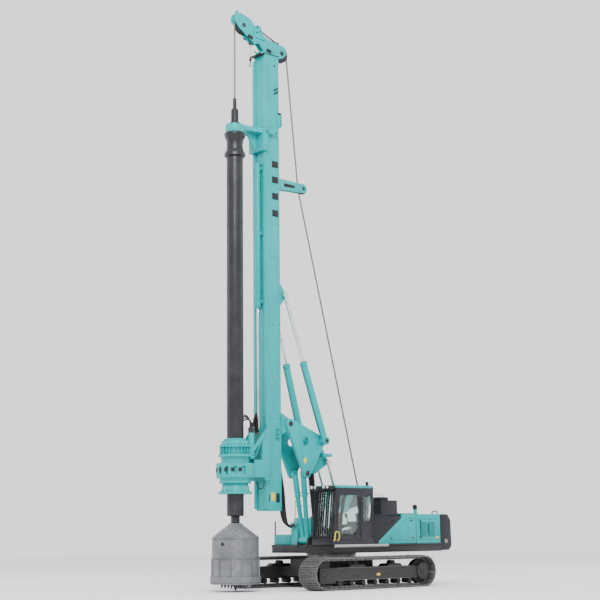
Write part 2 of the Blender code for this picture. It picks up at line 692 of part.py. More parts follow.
def build_winch(upper, drum_axis):
    floor = DECK_TOP + SEAT
    feet = [(WINCH_Y + side * 0.34, floor + 0.011, 0.01) for side in (-1, 1)]
    outline = round_hull([(WINCH_Y, WINCH_Z, 0.20), *feet])
    inner = DRUM_HALF + PIN_GAP
    frame, other = plates("winch_frame", outline, inner, inner + 0.045)
    sill = box("sill", (-inner - 0.03, WINCH_Y - 0.30, floor), (inner + 0.03, WINCH_Y + 0.30, floor + 0.05))
    motor = across("motor", (WINCH_Y, WINCH_Z), -inner - 0.13, -inner - 0.02, 0.15)
    place(join(frame, other, sill, motor), upper, "teal")
    flange = 0.03
    half = DRUM_HALF
    profile = [
        (0, -half), (DRUM_FLANGE, -half), (DRUM_FLANGE, -half + flange), (DRUM_RADIUS, -half + flange),
        (DRUM_RADIUS, half - flange), (DRUM_FLANGE, half - flange), (DRUM_FLANGE, half), (0, half),
    ]
    drum = turned("winch_drum", profile, (0, WINCH_Y, WINCH_Z), (1, 0, 0), 20)
    core = across("core", (WINCH_Y, WINCH_Z), -half - 0.1, half - 0.05, DRUM_RADIUS - 0.06)
    place(cut(drum, core), drum_axis, "steel")


def on_line(start, end, distance):
    return Vector(start) + (Vector(end) - Vector(start)).normalized() * distance


def barrel(name, foot, head, sizes, eye_low, eye_high, eye_radius):
    """A cylinder barrel with its foot eye, open at its mouth."""
    start = on_line(foot, head, eye_radius * 0.6)
    length = sizes["barrel_length"] - eye_radius * 0.6
    floor = eye_radius * 0.8
    outer, bore, mouth = sizes["barrel"], sizes["bore"], sizes["rod"] + ROD_GAP
    inside = length - GLAND
    profile = [
        (0, 0), (outer, 0), (outer, length), (mouth, length), (mouth, inside), (bore, inside), (bore, floor),
        (0, floor),
    ]
    body = turned(name, profile, start, Vector(head) - Vector(foot), 16)
    eye = across("eye", foot[1:], eye_low, eye_high, eye_radius)
    return join(body, eye)


def ram(name, foot, head, sizes, eye_low, eye_high, eye_radius):
    """A cylinder rod with its head eye."""
    tip = on_line(head, foot, sizes["rod_length"])
    body = rod(name, tip, on_line(head, foot, eye_radius * 0.5), sizes["rod"])
    return join(body, across("eye", head[1:], eye_low, eye_high, eye_radius))


def build_linkage(axes):
    boom = across("boom", BOOM_FOOT, -BOOM_FOOT_HALF, BOOM_FOOT_HALF, 0.12)
    parts = []
    for side in (1, -1):
        foot = (side * 0.10, *BOOM_FOOT)
        top = (side * 0.205, *BOOM_TOP)
        waist = on_line(top, foot, 0.66)
        parts.append(rod("arm", foot, waist, 0.075))
        parts.append(rod("sleeve", on_line(top, foot, 0.70), top, 0.095))
        ends = sorted((side * BOOM_EYE_INNER, side * (PLATE_INNER - PIN_GAP)))
        parts.append(across("eye", BOOM_TOP, *ends, 0.125))
    # The slanted arms meet their eyes at edges that the exact solver leaves open.
    place(combine(boom, parts, "UNION", "MANIFOLD"), axes["boom"], "teal")

    half = BRACKET_INNER - PIN_GAP
    link = rod("support_link", (0, *LINK_FOOT), (0, *LINK_TOP), 0.10)
    eyes = [across("eye", pivot, -half, half, 0.12) for pivot in (LINK_FOOT, LINK_TOP)]
    place(join(link, *eyes), axes["link"], "dark_grey")

    hinge = (*MAST_HINGE, 0.17)
    foot = (*MAST_CYLINDER_FOOT, 0.14)
    tip = (*BOOM_TOP, 0.14)
    cheeks = plates("triangle", round_hull([hinge, foot, tip]), PLATE_INNER, PLATE_OUTER)
    window = across("window", TRIANGLE_HOLE, -0.6, 0.6, 0.13)
    tie_outline = round_hull([(*MAST_CYLINDER_FOOT, 0.12), (*LINK_TOP, 0.12), (*LUFF_HEAD, 0.11)])
    ties = plates("tie", tie_outline, BRACKET_INNER, BRACKET_OUTER)
    reach = PLATE_OUTER - 0.05
    bars = [across("bar", MAST_CYLINDER_FOOT, -reach, reach, 0.10)]
    bars.append(across("bar", TRIANGLE_BAR, -reach, reach, 0.09))
    shelf = box("shelf", (-0.34, -0.60, 4.16), (0.34, -0.22, 4.26))
    triangle = join(cheeks[0], cheeks[1], *ties, *bars, shelf)
    place(cut(triangle, window), axes["triangle"], "teal")

    for side, name in ((1, "left"), (-1, "right")):
        foot = (side * LUFF_SIDE, *LUFF_FOOT)
        head = (side * LUFF_SIDE, *LUFF_HEAD)
        ends = sorted((side * (BRACKET_OUTER + PIN_GAP), side * 0.355))
        piece = barrel("luff_barrel_" + name, foot, head, LUFF_CYLINDER, *ends, 0.11)
        place(piece, axes["luff_barrels"], "teal")
        piece = ram("luff_rod_" + name, foot, head, LUFF_CYLINDER, *ends, 0.09)
        place(piece, axes["luff_rods"], "chrome")

        foot = (side * MAST_CYLINDER_FOOT_SIDE, *MAST_CYLINDER_FOOT)
        head = (side * MAST_CYLINDER_HEAD_SIDE, *MAST_CYLINDER_HEAD)
        ends = sorted((side * (PLATE_OUTER + PIN_GAP), side * 0.64))
        piece = barrel("mast_barrel_" + name, foot, head, MAST_CYLINDER, *ends, 0.13)
        place(piece, axes["mast_barrels"], "teal")
        ends = sorted((side * (HEAD_BRACKET + HEAD_EYE_GAP), side * (HEAD_BRACKET + 0.13)))
        piece = ram("mast_rod_" + name, foot, head, MAST_CYLINDER, *ends, 0.10)
        place(piece, axes["mast_rod_" + name], "chrome")


def build_mast(mast_axis, sheave_axes):
    half = MAST_HALF
    outline = [(-half, MAST_FRONT), (half, MAST_FRONT), (half, MAST_REAR), (-half, MAST_REAR)]
    mast = prism("mast", outline, MAST_BOTTOM, MAST_TOP, "Z")
    mast = cut(mast, prism("hollow", inset(outline, MAST_WALL), MAST_BOTTOM - 0.1, MAST_TOP + 0.1, "Z"))
    parts = []
    for side in (1, -1):
        ends = sorted((side * RAIL_INNER, side * RAIL_OUTER))
        parts.append(box("rail", (ends[0], MAST_FRONT - RAIL_THICK, MAST_BOTTOM + 0.06),
                         (ends[1], MAST_FRONT + 0.01, MAST_TOP - 0.10)))
    for pivot, radius, spread, width in (
        (MAST_HINGE, MAST_LUG, 0.32, PLATE_INNER - PIN_GAP), (MAST_CYLINDER_HEAD, 0.10, 0.35, HEAD_BRACKET),
    ):
        roots = [(MAST_REAR, pivot[1] + side * spread, 0.01) for side in (1, -1)]
        parts.append(prism("lug", round_hull([(*pivot, radius), *roots]), -width, width))
    y, z = GUIDE_PULLEY
    arm = round_hull([(y, z, 0.15), (MAST_REAR, z - 0.19, 0.01), (MAST_REAR, z + 0.17, 0.01)])
    parts += plates("arm", arm, PULLEY_ARM_INNER, 0.09)
    mast = join(mast, *parts)
    hollow = prism("hollow", inset(outline, MAST_WALL), MAST_BOTTOM - 0.1, MAST_TOP + 0.1, "Z")
    place(cut(mast, hollow), mast_axis, "teal")

    low = MAST_TOP + SEAT
    base = box("mast_head", (-MAST_HALF, MAST_FRONT, low), (MAST_HALF, MAST_REAR, low + 0.07))
    (front, high), (rear, mid) = FRONT_SHEAVE, REAR_SHEAVE
    outline = [
        (MAST_FRONT + 0.03, low + 0.03), (MAST_FRONT - 0.35, low + 0.42), (front - 0.18, high - 0.13),
        (front - 0.38, high + 0.11), (front - 0.34, high + 0.31), (front - 0.12, high + 0.39),
        (front + 0.30, high + 0.27), (MAST_FRONT - 0.10, high - 0.10), (MAST_REAR - 0.15, mid + 0.31),
        (rear + 0.12, mid + 0.25), (rear + 0.20, mid), (rear + 0.05, mid - 0.15),
        (MAST_REAR - 0.03, low + 0.03),
    ]
    walls = plates("wall", outline, HEAD_PLATE_INNER, HEAD_PLATE_OUTER)
    pins = [across("pin", (front - 0.28, high + 0.31), -0.09, 0.09, 0.03, 10),
            across("pin", (MAST_FRONT + 0.05, mid + 0.31), -0.09, 0.09, 0.04, 10)]
    place(join(base, *walls, *pins), mast_axis, "teal")

    for name, centre, radius, inner in (
        ("front_sheave", FRONT_SHEAVE, SHEAVE_RADIUS, HEAD_PLATE_INNER),
        ("rear_sheave", REAR_SHEAVE, SHEAVE_RADIUS, HEAD_PLATE_INNER),
        ("guide_pulley", GUIDE_PULLEY, GUIDE_PULLEY_RADIUS, PULLEY_ARM_INNER),
    ):
        half = inner - PIN_GAP
        rim = half - 0.012
        profile = [
            (0, -half), (0.07, -half), (0.07, -rim), (radius, -rim), (radius - 0.045, 0), (radius, rim),
            (0.07, rim), (0.07, half), (0, half),
        ]
        place(turned(name, profile, (0, *centre), (1, 0, 0), 18), sheave_axes[name], "dark_grey")

    sizes = CROWD_CYLINDER
    low, high = CROWD_BARREL_LOW, CROWD_BARREL_HIGH
    outer, inner, mouth = sizes["barrel"], sizes["bore"], sizes["rod"] + RUNNING
    profile = [
        (0, high), (outer, high), (outer, low), (mouth, low), (mouth, low + GLAND), (inner, low + GLAND),
        (inner, high - 0.10), (0, high - 0.10),
    ]
    y = crowd_axis_y()
    body = turned("crowd_barrel", profile, (0, y, 0), (0, 0, 1), 16)
    clamps = [box("clamp", (-0.15, MAST_FRONT - 0.06, z), (0.15, MAST_FRONT - SEAT, z + 0.12))
              for z in (low + 0.15, (low + high) / 2, high - 0.25)]
    body = join(body, *clamps)
    bore = rod("bore", (0, y, low + 0.02), (0, y, high - 0.12), sizes["bore"], 16)
    place(cut(body, bore), mast_axis, "teal")


def crowd_axis_y():
    return MAST_FRONT - CROWD_CYLINDER["barrel"] - 0.012


def slider(name, low, high):
    """A plate on the mast's front rails, with jaws that hold the rails from the side and behind."""
    rail_front = MAST_FRONT - RAIL_THICK
    corner = (-CARRIAGE_HALF, rail_front - CARRIAGE_THICK, low)
    plate = box(name, corner, (CARRIAGE_HALF, rail_front - SEAT, high))
    parts = []
    for side in (1, -1):
        ends = sorted((side * (RAIL_OUTER + RUNNING), side * CARRIAGE_HALF))
        parts.append(box("jaw", (ends[0], rail_front - 0.02, low), (ends[1], MAST_FRONT + 0.045, high)))
        ends = sorted((side * (MAST_HALF + RUNNING), side * (CARRIAGE_HALF - 0.01)))
        corner = (ends[0], MAST_FRONT + 0.010 + RUNNING, low)
        parts.append(box("lip", corner, (ends[1], MAST_FRONT + 0.04, high)))
    return join(plate, *parts)


def build_power_head(carriage_axis, sleeve_axis):
    front = MAST_FRONT - RAIL_THICK - CARRIAGE_THICK
    carriage = slider("power_head_carriage", CARRIAGE_LOW, CARRIAGE_HIGH)
    kelly_y = -KELLY_REACH
    low, high, top = CRADLE_LOW + 0.02, CRADLE_HIGH - 0.02, CARRIAGE_HIGH - 0.10
    outline = [
        (front + 0.04, low), (kelly_y + 0.10, low), (kelly_y + 0.10, high), (kelly_y + 0.42, high),
        (front - 0.06, top), (front + 0.04, top),
    ]
    window = [(front - 0.10, 3.98), (front - 0.42, 3.98), (front - 0.10, 4.58)]
    arms = plates("arm", outline, 0.27, 0.37)
    holes = [prism("hole", window, -0.5, 0.5)]
    start, end = (0, kelly_y, CRADLE_LOW - 0.2), (0, kelly_y, CARRIAGE_HIGH + 0.1)
    space = rod("space", start, end, CRADLE_RADIUS + SEAT, HEAD_SIDES)
    carriage = join(carriage, *arms)
    place(cut(carriage, *holes, space), carriage_axis, "teal")

    bore = SLEEVE_RADIUS + RUNNING
    top = GEARBOX_TOP
    profile = [
        (bore, top), (0.43, top), (0.43, top - 0.13), (0.50, top - 0.13), (0.50, top - 0.19),
        (0.41, top - 0.19), (0.41, top - 0.41), (0.52, top - 0.41), (0.52, top - 0.49), (0.44, top - 0.49),
        (0.44, CRADLE_HIGH), (CRADLE_RADIUS, CRADLE_HIGH), (CRADLE_RADIUS, CRADLE_LOW), (0.49, CRADLE_LOW),
        (0.49, GEARBOX_LOW), (bore, GEARBOX_LOW),
    ]
    gearbox = turned("gearbox", profile, (0, kelly_y, 0), (0, 0, 1), HEAD_SIDES)
    motors = []
    for side in (1, -1):
        x, y = side * 0.33, kelly_y + 0.36
        motors.append(rod("motor", (x, y, 4.0), (x, y, 4.80), 0.10, 10))
    pockets = []
    for step in range(-3, 4):
        angle = -math.pi / 2 + step * math.radians(26)
        pocket = box("pocket", (-0.05, -0.06, 3.52), (0.05, 0.06, 3.76))
        pocket.data.transform(Matrix.Rotation(angle + math.pi / 2, 4, "Z"))
        x, y = CRADLE_RADIUS * math.cos(angle), CRADLE_RADIUS * math.sin(angle)
        pocket.data.transform(Matrix.Translation((x, kelly_y + y, 0)))
        pockets.append(pocket)
    gearbox = cut(join(gearbox, *motors), *pockets)
    clear = rod("clear", (0, kelly_y, GEARBOX_LOW - 0.1), (0, kelly_y, 5.0), bore, HEAD_SIDES)
    place(cut(gearbox, clear), carriage_axis, "teal")

    bore = KELLY_RADIUS + RUNNING
    profile = [
        (bore, SLEEVE_TOP), (LIP_RADIUS, SLEEVE_TOP), (LIP_RADIUS, GEARBOX_TOP + PIN_GAP),
        (SLEEVE_RADIUS, GEARBOX_TOP + PIN_GAP),
        (SLEEVE_RADIUS, GEARBOX_LOW - RUNNING), (0.40, GEARBOX_LOW - RUNNING), (0.44, FLANGE_LOW + 0.07),
        (FLANGE_RADIUS, FLANGE_LOW + 0.07), (FLANGE_RADIUS, FLANGE_LOW), (bore, FLANGE_LOW),
    ]
    place(turned("drive_sleeve", profile, (0, kelly_y, 0), (0, 0, 1), HEAD_SIDES), sleeve_axis, "teal")
    start, end = (0, crowd_axis_y(), CARRIAGE_HIGH + SEAT), (0, crowd_axis_y(), CROWD_ROD_TOP)
    place(rod("crowd_rod", start, end, CROWD_CYLINDER["rod"]), carriage_axis, "chrome")


def build_kelly(guide_axis, kelly_axis, lid_axis):
    y = -KELLY_REACH
    low, high = COLLAR_HIGH + 0.12, GUIDE_TOP
    guide = slider("kelly_guide", COLLAR_HIGH - 0.45, GUIDE_TOP)
    front = MAST_FRONT - RAIL_THICK - CARRIAGE_THICK
    arm = [(-0.34, front + 0.05), (0.34, front + 0.05), (0.20, y + 0.10), (-0.20, y + 0.10)]
    arm = prism("arm", arm, low, high, "Z")
    foot = COLLAR_HIGH - 0.40
    back, top = front + 0.04, low + 0.02
    rib_outline = [(back, top), (back, foot), (front - 0.10, foot), (y + 0.45, top)]
    rib = prism("rib", rib_outline, -0.03, 0.03)
    hub = rod("hub", (0, y, COLLAR_HIGH + SEAT), (0, y, high), 0.30, 20)
    place(join(guide, arm, rib, hub), guide_axis, "teal")
    base, shoulder = GUIDE_TOP + SEAT, SWIVEL_BODY_TOP
    profile = [
        (0, base), (0.17, base), (0.17, base + 0.08), (0.12, base + 0.12), (0.12, shoulder),
        (0.06, shoulder + 0.08), (0.06, SWIVEL_TOP), (0, SWIVEL_TOP),
    ]
    place(turned("swivel", profile, (0, y, 0), (0, 0, 1), 16), guide_axis, "black")

    outer, inner = KELLY_RADIUS, KELLY_RADIUS - KELLY_WALL
    low, high = COLLAR_LOW, COLLAR_HIGH
    collar, waist = COLLAR_RADIUS, COLLAR_WAIST + 0.05
    profile = [
        (0, KELLY_LOW), (outer, KELLY_LOW), (outer, low), (collar, low), (collar, low + 0.10),
        (waist, low + 0.22), (waist, high - 0.24), (collar, high - 0.08), (collar, high), (COLLAR_WAIST, high),
        (COLLAR_WAIST, low), (inner, low - 0.1), (inner, KELLY_LOW + KELLY_WALL), (0, KELLY_LOW + KELLY_WALL),
    ]
    kelly = turned("kelly", profile, (0, y, 0), (0, 0, 1), HEAD_SIDES)
    half = STUB_HALF
    stub = box("stub", (-half, y - half, BUCKET_TOP + SEAT), (half, y + half, KELLY_LOW + 0.02))
    place(join(kelly, stub), kelly_axis, "kelly_grey")

    outer, inner = BUCKET_RADIUS, BUCKET_RADIUS - BUCKET_WALL
    ceiling = BUCKET_TOP - 0.08 - BUCKET_WALL
    profile = [
        (0, BUCKET_TOP), (0.20, BUCKET_TOP), (0.24, BUCKET_TOP - 0.06), (outer, BUCKET_SHOULDER),
        (outer, RIM_TOP), (RIM_RADIUS, RIM_TOP), (RIM_RADIUS, RIM_LOW), (inner, RIM_LOW),
        (inner, BUCKET_SHOULDER - BUCKET_WALL), (0.24, ceiling), (0, ceiling),
    ]
    bucket = turned("bucket", profile, (0, y, 0), (0, 0, 1), 24)
    ribs = []
    for index in range(4):
        rib = box("rib", (BUCKET_RADIUS - 0.015, -0.03, 0.44), (BUCKET_RADIUS + 0.03, 0.03, 1.0))
        rib.data.transform(Matrix.Rotation(math.tau * (index + 0.5) / 4, 4, "Z"))
        rib.data.transform(Matrix.Translation((0, y, 0)))
        ribs.append(rib)
    hinge_y, hinge_z = y + RIM_RADIUS + 0.05, RIM_LOW + 0.02
    roots = [(y + RIM_RADIUS - 0.02, hinge_z + up, 0.02) for up in (0.10, 0.02)]
    ear = round_hull([(hinge_y, hinge_z, 0.045), *roots], 12)
    ears = plates("ear", ear, 0.12 + PIN_GAP, 0.16)
    place(join(bucket, *ribs, *ears), kelly_axis, "steel")

    top = RIM_LOW - RUNNING
    lid = rod("bucket_lid", (0, y, top - LID_THICK), (0, y, top), RIM_RADIUS - 0.01, 24)
    under, edge = top - LID_THICK + 0.01, y + RIM_RADIUS
    arm = [
        (edge - 0.10, under), (hinge_y + 0.02, under), (hinge_y + 0.045, hinge_z - 0.01),
        (hinge_y + 0.03, hinge_z + 0.03), (hinge_y - 0.02, hinge_z + 0.03), (edge + RUNNING, top - 0.01),
        (edge - 0.10, top - 0.01),
    ]
    parts = [prism("arm", arm, -0.12, 0.12)]
    for index in range(TEETH):
        reach = (0.18 + 0.16 * (index % 4)) * (1 if index < TEETH / 2 else -1)
        outline = [(y - 0.05, under), (y - 0.02, TOOL_LOW + 0.06), (y + 0.07, under)]
        parts.append(prism("tooth", outline, reach - 0.03, reach + 0.03))
    pilot = [(0, TOOL_LOW), (0.02, TOOL_LOW), (0.09, under), (0, under)]
    parts.append(turned("pilot", pilot, (0, y, 0), (0, 0, 1), 12))
    place(join(lid, *parts), lid_axis, "steel")


def build():
    for old in list(bpy.data.objects):
        bpy.data.objects.remove(old)
    root = axis("undercarriage", (0, 0, 0))
    upper = axis("upper", (0, 0, DECK_BOTTOM), root)
    half = DECK_HALF_WIDTH - 0.02
    door_y = DECK_REAR - 0.02 - 0.10 + PANEL_GAP / 2
    door_axes = {
        name: axis("engine_door_%s_axis" % name, (side * (half + KNUCKLE_OUT), door_y, DECK_TOP), upper)
        for side, name in ((1, "left"), (-1, "right"))
    }
    hood = axis("engine_hood_axis", (0, door_y, HOUSE_TOP + KNUCKLE_OUT), upper)
    door_pin = (CAB_OUTER_X + KNUCKLE_OUT, DOOR_REAR + PANEL_GAP / 2, DECK_TOP)
    cab_door = axis("cab_door_axis", door_pin, upper)
    drum = axis("winch_drum_axis", (0, WINCH_Y, WINCH_Z), upper)
    boom = axis("boom_axis", (0, *BOOM_FOOT), upper)
    triangle = axis("triangle_axis", (0, *BOOM_TOP), boom)
    luff_barrels = axis("luff_barrels_axis", (0, *LUFF_FOOT), upper)
    mast_barrels = axis("mast_barrels_axis", (0, *MAST_CYLINDER_FOOT), triangle)
    mast = axis("mast_axis", (0, *MAST_HINGE), triangle)
    head_x = MAST_CYLINDER_HEAD_SIDE
    axes = {
        "boom": boom,
        "link": axis("support_link_axis", (0, *LINK_FOOT), upper),
        "triangle": triangle,
        "luff_barrels": luff_barrels,
        "luff_rods": axis("luff_rods_axis", (0, *LUFF_HEAD), luff_barrels),
        "mast_barrels": mast_barrels,
        "mast_rod_left": axis("mast_rod_left_axis", (head_x, *MAST_CYLINDER_HEAD), mast_barrels),
        "mast_rod_right": axis("mast_rod_right_axis", (-head_x, *MAST_CYLINDER_HEAD), mast_barrels),
    }
    sheaves = {
        "front_sheave": axis("front_sheave_axis", (0, *FRONT_SHEAVE), mast),
        "rear_sheave": axis("rear_sheave_axis", (0, *REAR_SHEAVE), mast),
        "guide_pulley": axis("guide_pulley_axis", (0, *GUIDE_PULLEY), mast),
    }
    drill = (0, -KELLY_REACH)
    carriage = axis("carriage_axis", (*drill, CRADLE_LOW), mast)
    sleeve = axis("drive_sleeve_axis", (*drill, FLANGE_LOW), carriage)
    guide = axis("kelly_guide_axis", (*drill, GUIDE_TOP), mast)
    kelly = axis("kelly_axis", (*drill, KELLY_LOW), guide)
    lid = axis("bucket_lid_axis", (0, -KELLY_REACH + RIM_RADIUS + 0.05, RIM_LOW + 0.02), kelly)

    build_undercarriage(root)
    build_platform(upper)
    build_cab(upper, cab_door)
    build_house(upper, door_axes, hood)
    build_winch(upper, drum)
    build_linkage(axes)
    build_mast(mast, sheaves)
    build_power_head(carriage, sleeve)
    build_kelly(guide, kelly, lid)


build()
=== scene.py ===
import json
import math

import bmesh
import bpy
from mathutils import Matrix, Vector

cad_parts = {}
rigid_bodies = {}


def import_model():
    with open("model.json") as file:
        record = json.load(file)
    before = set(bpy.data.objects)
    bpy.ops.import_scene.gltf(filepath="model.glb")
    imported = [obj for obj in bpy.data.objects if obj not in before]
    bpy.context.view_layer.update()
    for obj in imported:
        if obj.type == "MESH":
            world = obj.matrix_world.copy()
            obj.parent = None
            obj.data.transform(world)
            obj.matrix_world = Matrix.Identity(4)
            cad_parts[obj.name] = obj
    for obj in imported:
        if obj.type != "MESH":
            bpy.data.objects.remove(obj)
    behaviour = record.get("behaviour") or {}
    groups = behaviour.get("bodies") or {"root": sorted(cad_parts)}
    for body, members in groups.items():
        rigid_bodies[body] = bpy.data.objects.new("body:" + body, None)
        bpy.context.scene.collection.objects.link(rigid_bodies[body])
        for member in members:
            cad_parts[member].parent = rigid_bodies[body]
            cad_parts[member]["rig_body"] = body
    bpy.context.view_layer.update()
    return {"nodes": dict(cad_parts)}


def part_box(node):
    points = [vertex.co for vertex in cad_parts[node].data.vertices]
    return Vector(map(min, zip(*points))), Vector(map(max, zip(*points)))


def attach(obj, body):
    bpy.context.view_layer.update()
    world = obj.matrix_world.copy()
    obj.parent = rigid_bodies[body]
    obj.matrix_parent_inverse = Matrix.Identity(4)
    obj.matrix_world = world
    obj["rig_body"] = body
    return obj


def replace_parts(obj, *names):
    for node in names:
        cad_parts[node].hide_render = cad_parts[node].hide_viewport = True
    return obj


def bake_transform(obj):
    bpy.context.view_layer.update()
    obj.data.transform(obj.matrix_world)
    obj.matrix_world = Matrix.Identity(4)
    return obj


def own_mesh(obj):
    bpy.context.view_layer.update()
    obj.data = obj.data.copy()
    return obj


# Looks of a rotary piling rig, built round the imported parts.
# Front is -Y, the cab side is +X, up is +Z, everything in metres.

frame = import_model()
parts = frame["nodes"]
bothSides = (1, -1)
upwards = (0, 0, 1)
print("parts loaded:", len(parts))


# Fills a node's inputs, by number or by name, with values or with other nodes' outputs.
def give(node, numbered=None, **named):
    for key, value in [*(numbered or {}).items(), *named.items()]:
        socket = node.inputs[key.replace("_", " ") if isinstance(key, str) else key]
        if isinstance(value, bpy.types.NodeSocket):
            node.id_data.links.new(value, socket)
        else:
            socket.default_value = value
    return node


def newNode(tree, kind, **named):
    return give(tree.nodes.new(kind), **named)


def mathOf(tree, operation, *values):
    node = tree.nodes.new("ShaderNodeMath")
    node.operation = operation
    return give(node, dict(enumerate(values))).outputs[0]


# A look is the node tree, its shader and its coordinates.
def startMaterial(name, rough, metal=0.0, coat=0.0):
    made = bpy.data.materials.new(name)
    made.use_nodes = True
    tree = made.node_tree
    shader = give(tree.nodes["Principled BSDF"], Metallic=metal, Roughness=rough, Coat_Weight=coat,
                  Coat_Roughness=0.12, Specular_IOR_Level=0.5 if metal else 0.22)
    return made, (tree, shader, tree.nodes.new("ShaderNodeTexCoord"))


def noiseAt(look, size, detail=4.0, stretch=(1, 1, 1), roughness=0.55):
    tree, shader, where = look
    squeeze = newNode(tree, "ShaderNodeMapping", Vector=where.outputs["Object"], Scale=stretch)
    noise = newNode(tree, "ShaderNodeTexNoise", Vector=squeeze.outputs[0], Scale=1 / size, Detail=detail,
                    Roughness=roughness)
    return noise.outputs["Fac"]


# Two stops, each a place and a colour; a plain number stands for a grey.
def rampOf(look, source, *stops):
    ramp = newNode(look[0], "ShaderNodeValToRGB", Fac=source)
    for element, (place, colour) in zip(ramp.color_ramp.elements, stops):
        element.position = place
        element.color = (*colour, 1) if isinstance(colour, tuple) else (colour, colour, colour, 1)
    return ramp.outputs["Color"]


def mixOf(look, kind, amount, first, second):
    mix = look[0].nodes.new("ShaderNodeMix")
    mix.data_type, mix.blend_type = "RGBA", kind
    return give(mix, {0: amount, 6: first, 7: second}).outputs[2]


def wavesOf(look, space, scale, distortion=0.0, direction="X"):
    waves = newNode(look[0], "ShaderNodeTexWave", Vector=space, Scale=scale, Distortion=distortion)
    waves.bands_direction = direction
    return waves.outputs


def bumpOf(look, height, strength, depth, before=None):
    bump = newNode(look[0], "ShaderNodeBump", Strength=strength, Distance=depth, Height=height)
    if before is not None:
        give(bump, Normal=before)
    give(look[1], Normal=bump.outputs["Normal"])
    return bump.outputs["Normal"]


def shades(colour, down, up):
    return tuple(c * down for c in colour), tuple(min(c * up, 1) for c in colour)


# Paint on plate: slow shade drift, rain streaks, dust low down, orange peel and small chips.
def paintOnSteel(name, colour, rough=0.34, coat=0.35, dust=0.25, chips=0.25, chipGrey=(0.10, 0.10, 0.10)):
    made, look = startMaterial(name, rough, 0.0, coat)
    dark, light = shades(colour, 0.90, 1.07)
    base = rampOf(look, noiseAt(look, 1.6, 3.0), (0.3, dark), (0.7, light))
    streaks = rampOf(look, noiseAt(look, 0.12, 5.0, (1, 1, 0.12)), (0.30, 0.80), (0.52, 1.0))
    streaked = mixOf(look, "MULTIPLY", 0.45, base, streaks)
    height = newNode(look[0], "ShaderNodeSeparateXYZ", Vector=look[2].outputs["Object"])
    low = newNode(look[0], "ShaderNodeMapRange", Value=height.outputs["Z"], From_Min=2.2, From_Max=0.2,
                  To_Min=0.0, To_Max=dust)
    speckle = noiseAt(look, 0.30, 6.0, roughness=0.7)
    dusty = mathOf(look[0], "MULTIPLY", low.outputs["Result"], speckle)
    dusted = mixOf(look, "MIX", dusty, streaked, (0.16, 0.145, 0.12, 1))
    scuff = noiseAt(look, 0.035, 8.0, roughness=0.75)
    scuffed = rampOf(look, scuff, (0.70, 0.0), (0.74, chips))
    give(look[1], Base_Color=mixOf(look, "MIX", scuffed, dusted, (*chipGrey, 1)),
         Roughness=rampOf(look, speckle, (0.3, rough * 0.8), (0.75, min(rough * 1.5, 1))))
    bumpOf(look, scuff, 0.08, 0.003, bumpOf(look, noiseAt(look, 0.012, 2.0), 0.05, 0.002))
    return made


# Worn bare or dull steel: long scratches, blotches and pitting.
def wornSteel(name, colour, rough=0.42, metal=0.75, along=(1, 1, 1), rust=0.18):
    made, look = startMaterial(name, rough, metal)
    dark, light = shades(colour, 0.72, 1.25)
    base = rampOf(look, noiseAt(look, 0.45, 6.0, roughness=0.65), (0.32, dark), (0.68, light))
    scratch = noiseAt(look, 0.02, 6.0, along, 0.7)
    lined = mixOf(look, "MULTIPLY", 0.7, base, rampOf(look, scratch, (0.42, 0.72), (0.6, 1.12)))
    stain = rampOf(look, noiseAt(look, 0.17, 7.0, roughness=0.75), (0.58, 0.0), (0.76, rust))
    give(look[1], Base_Color=mixOf(look, "MIX", stain, lined, (0.12, 0.075, 0.05, 1)),
         Roughness=rampOf(look, scratch, (0.35, rough * 1.35), (0.65, rough * 0.7)))
    bumpOf(look, scratch, 0.10, 0.002, bumpOf(look, noiseAt(look, 0.008, 3.0), 0.12, 0.002))
    return made


# Ground rod: mirror-like with fine turning lines and an oil film.
def groundChrome(name):
    made, look = startMaterial(name, 0.12, 1.0)
    film = noiseAt(look, 0.20, 5.0, (1, 1, 0.4))
    give(look[1], Base_Color=rampOf(look, film, (0.3, 0.62), (0.7, 0.86)),
         Roughness=rampOf(look, film, (0.3, 0.20), (0.7, 0.09)))
    bumpOf(look, noiseAt(look, 0.004, 2.0, (0.3, 0.3, 6)), 0.04, 0.0005)
    return made


# Cast or rolled track steel: dark hollows, rubbed ribs, dry mud in patches.
def trackSteel(name):
    made, look = startMaterial(name, 0.5, 0.6)
    cast = noiseAt(look, 0.05, 8.0, roughness=0.7)
    base = rampOf(look, cast, (0.3, (0.060, 0.060, 0.063)), (0.7, (0.230, 0.230, 0.232)))
    mud = noiseAt(look, 0.33, 8.0, roughness=0.72)
    muddy = rampOf(look, mud, (0.52, 0.0), (0.72, 0.42))
    give(look[1], Base_Color=mixOf(look, "MIX", muddy, base, (0.13, 0.11, 0.09, 1)),
         Roughness=rampOf(look, cast, (0.35, 0.62), (0.7, 0.36)))
    bumpOf(look, mud, 0.20, 0.01, bumpOf(look, noiseAt(look, 0.006), 0.25, 0.003))
    return made


# Rubber and moulded plastic: fine grain with dusty bloom.
def darkMoulding(name, colour=(0.012, 0.012, 0.013), rough=0.55, grainSize=0.003, bloom=0.05):
    made, look = startMaterial(name, rough)
    film = noiseAt(look, 0.25, 6.0, roughness=0.7)
    give(look[1], Base_Color=rampOf(look, film, (0.35, colour), (0.75, tuple(c + bloom for c in colour))),
         Roughness=rampOf(look, film, (0.3, rough * 0.8), (0.7, min(1, rough * 1.3))))
    grain = newNode(look[0], "ShaderNodeTexVoronoi", Vector=look[2].outputs["Object"], Scale=1 / grainSize)
    bumpOf(look, grain.outputs["Distance"], 0.12, 0.0008)
    return made


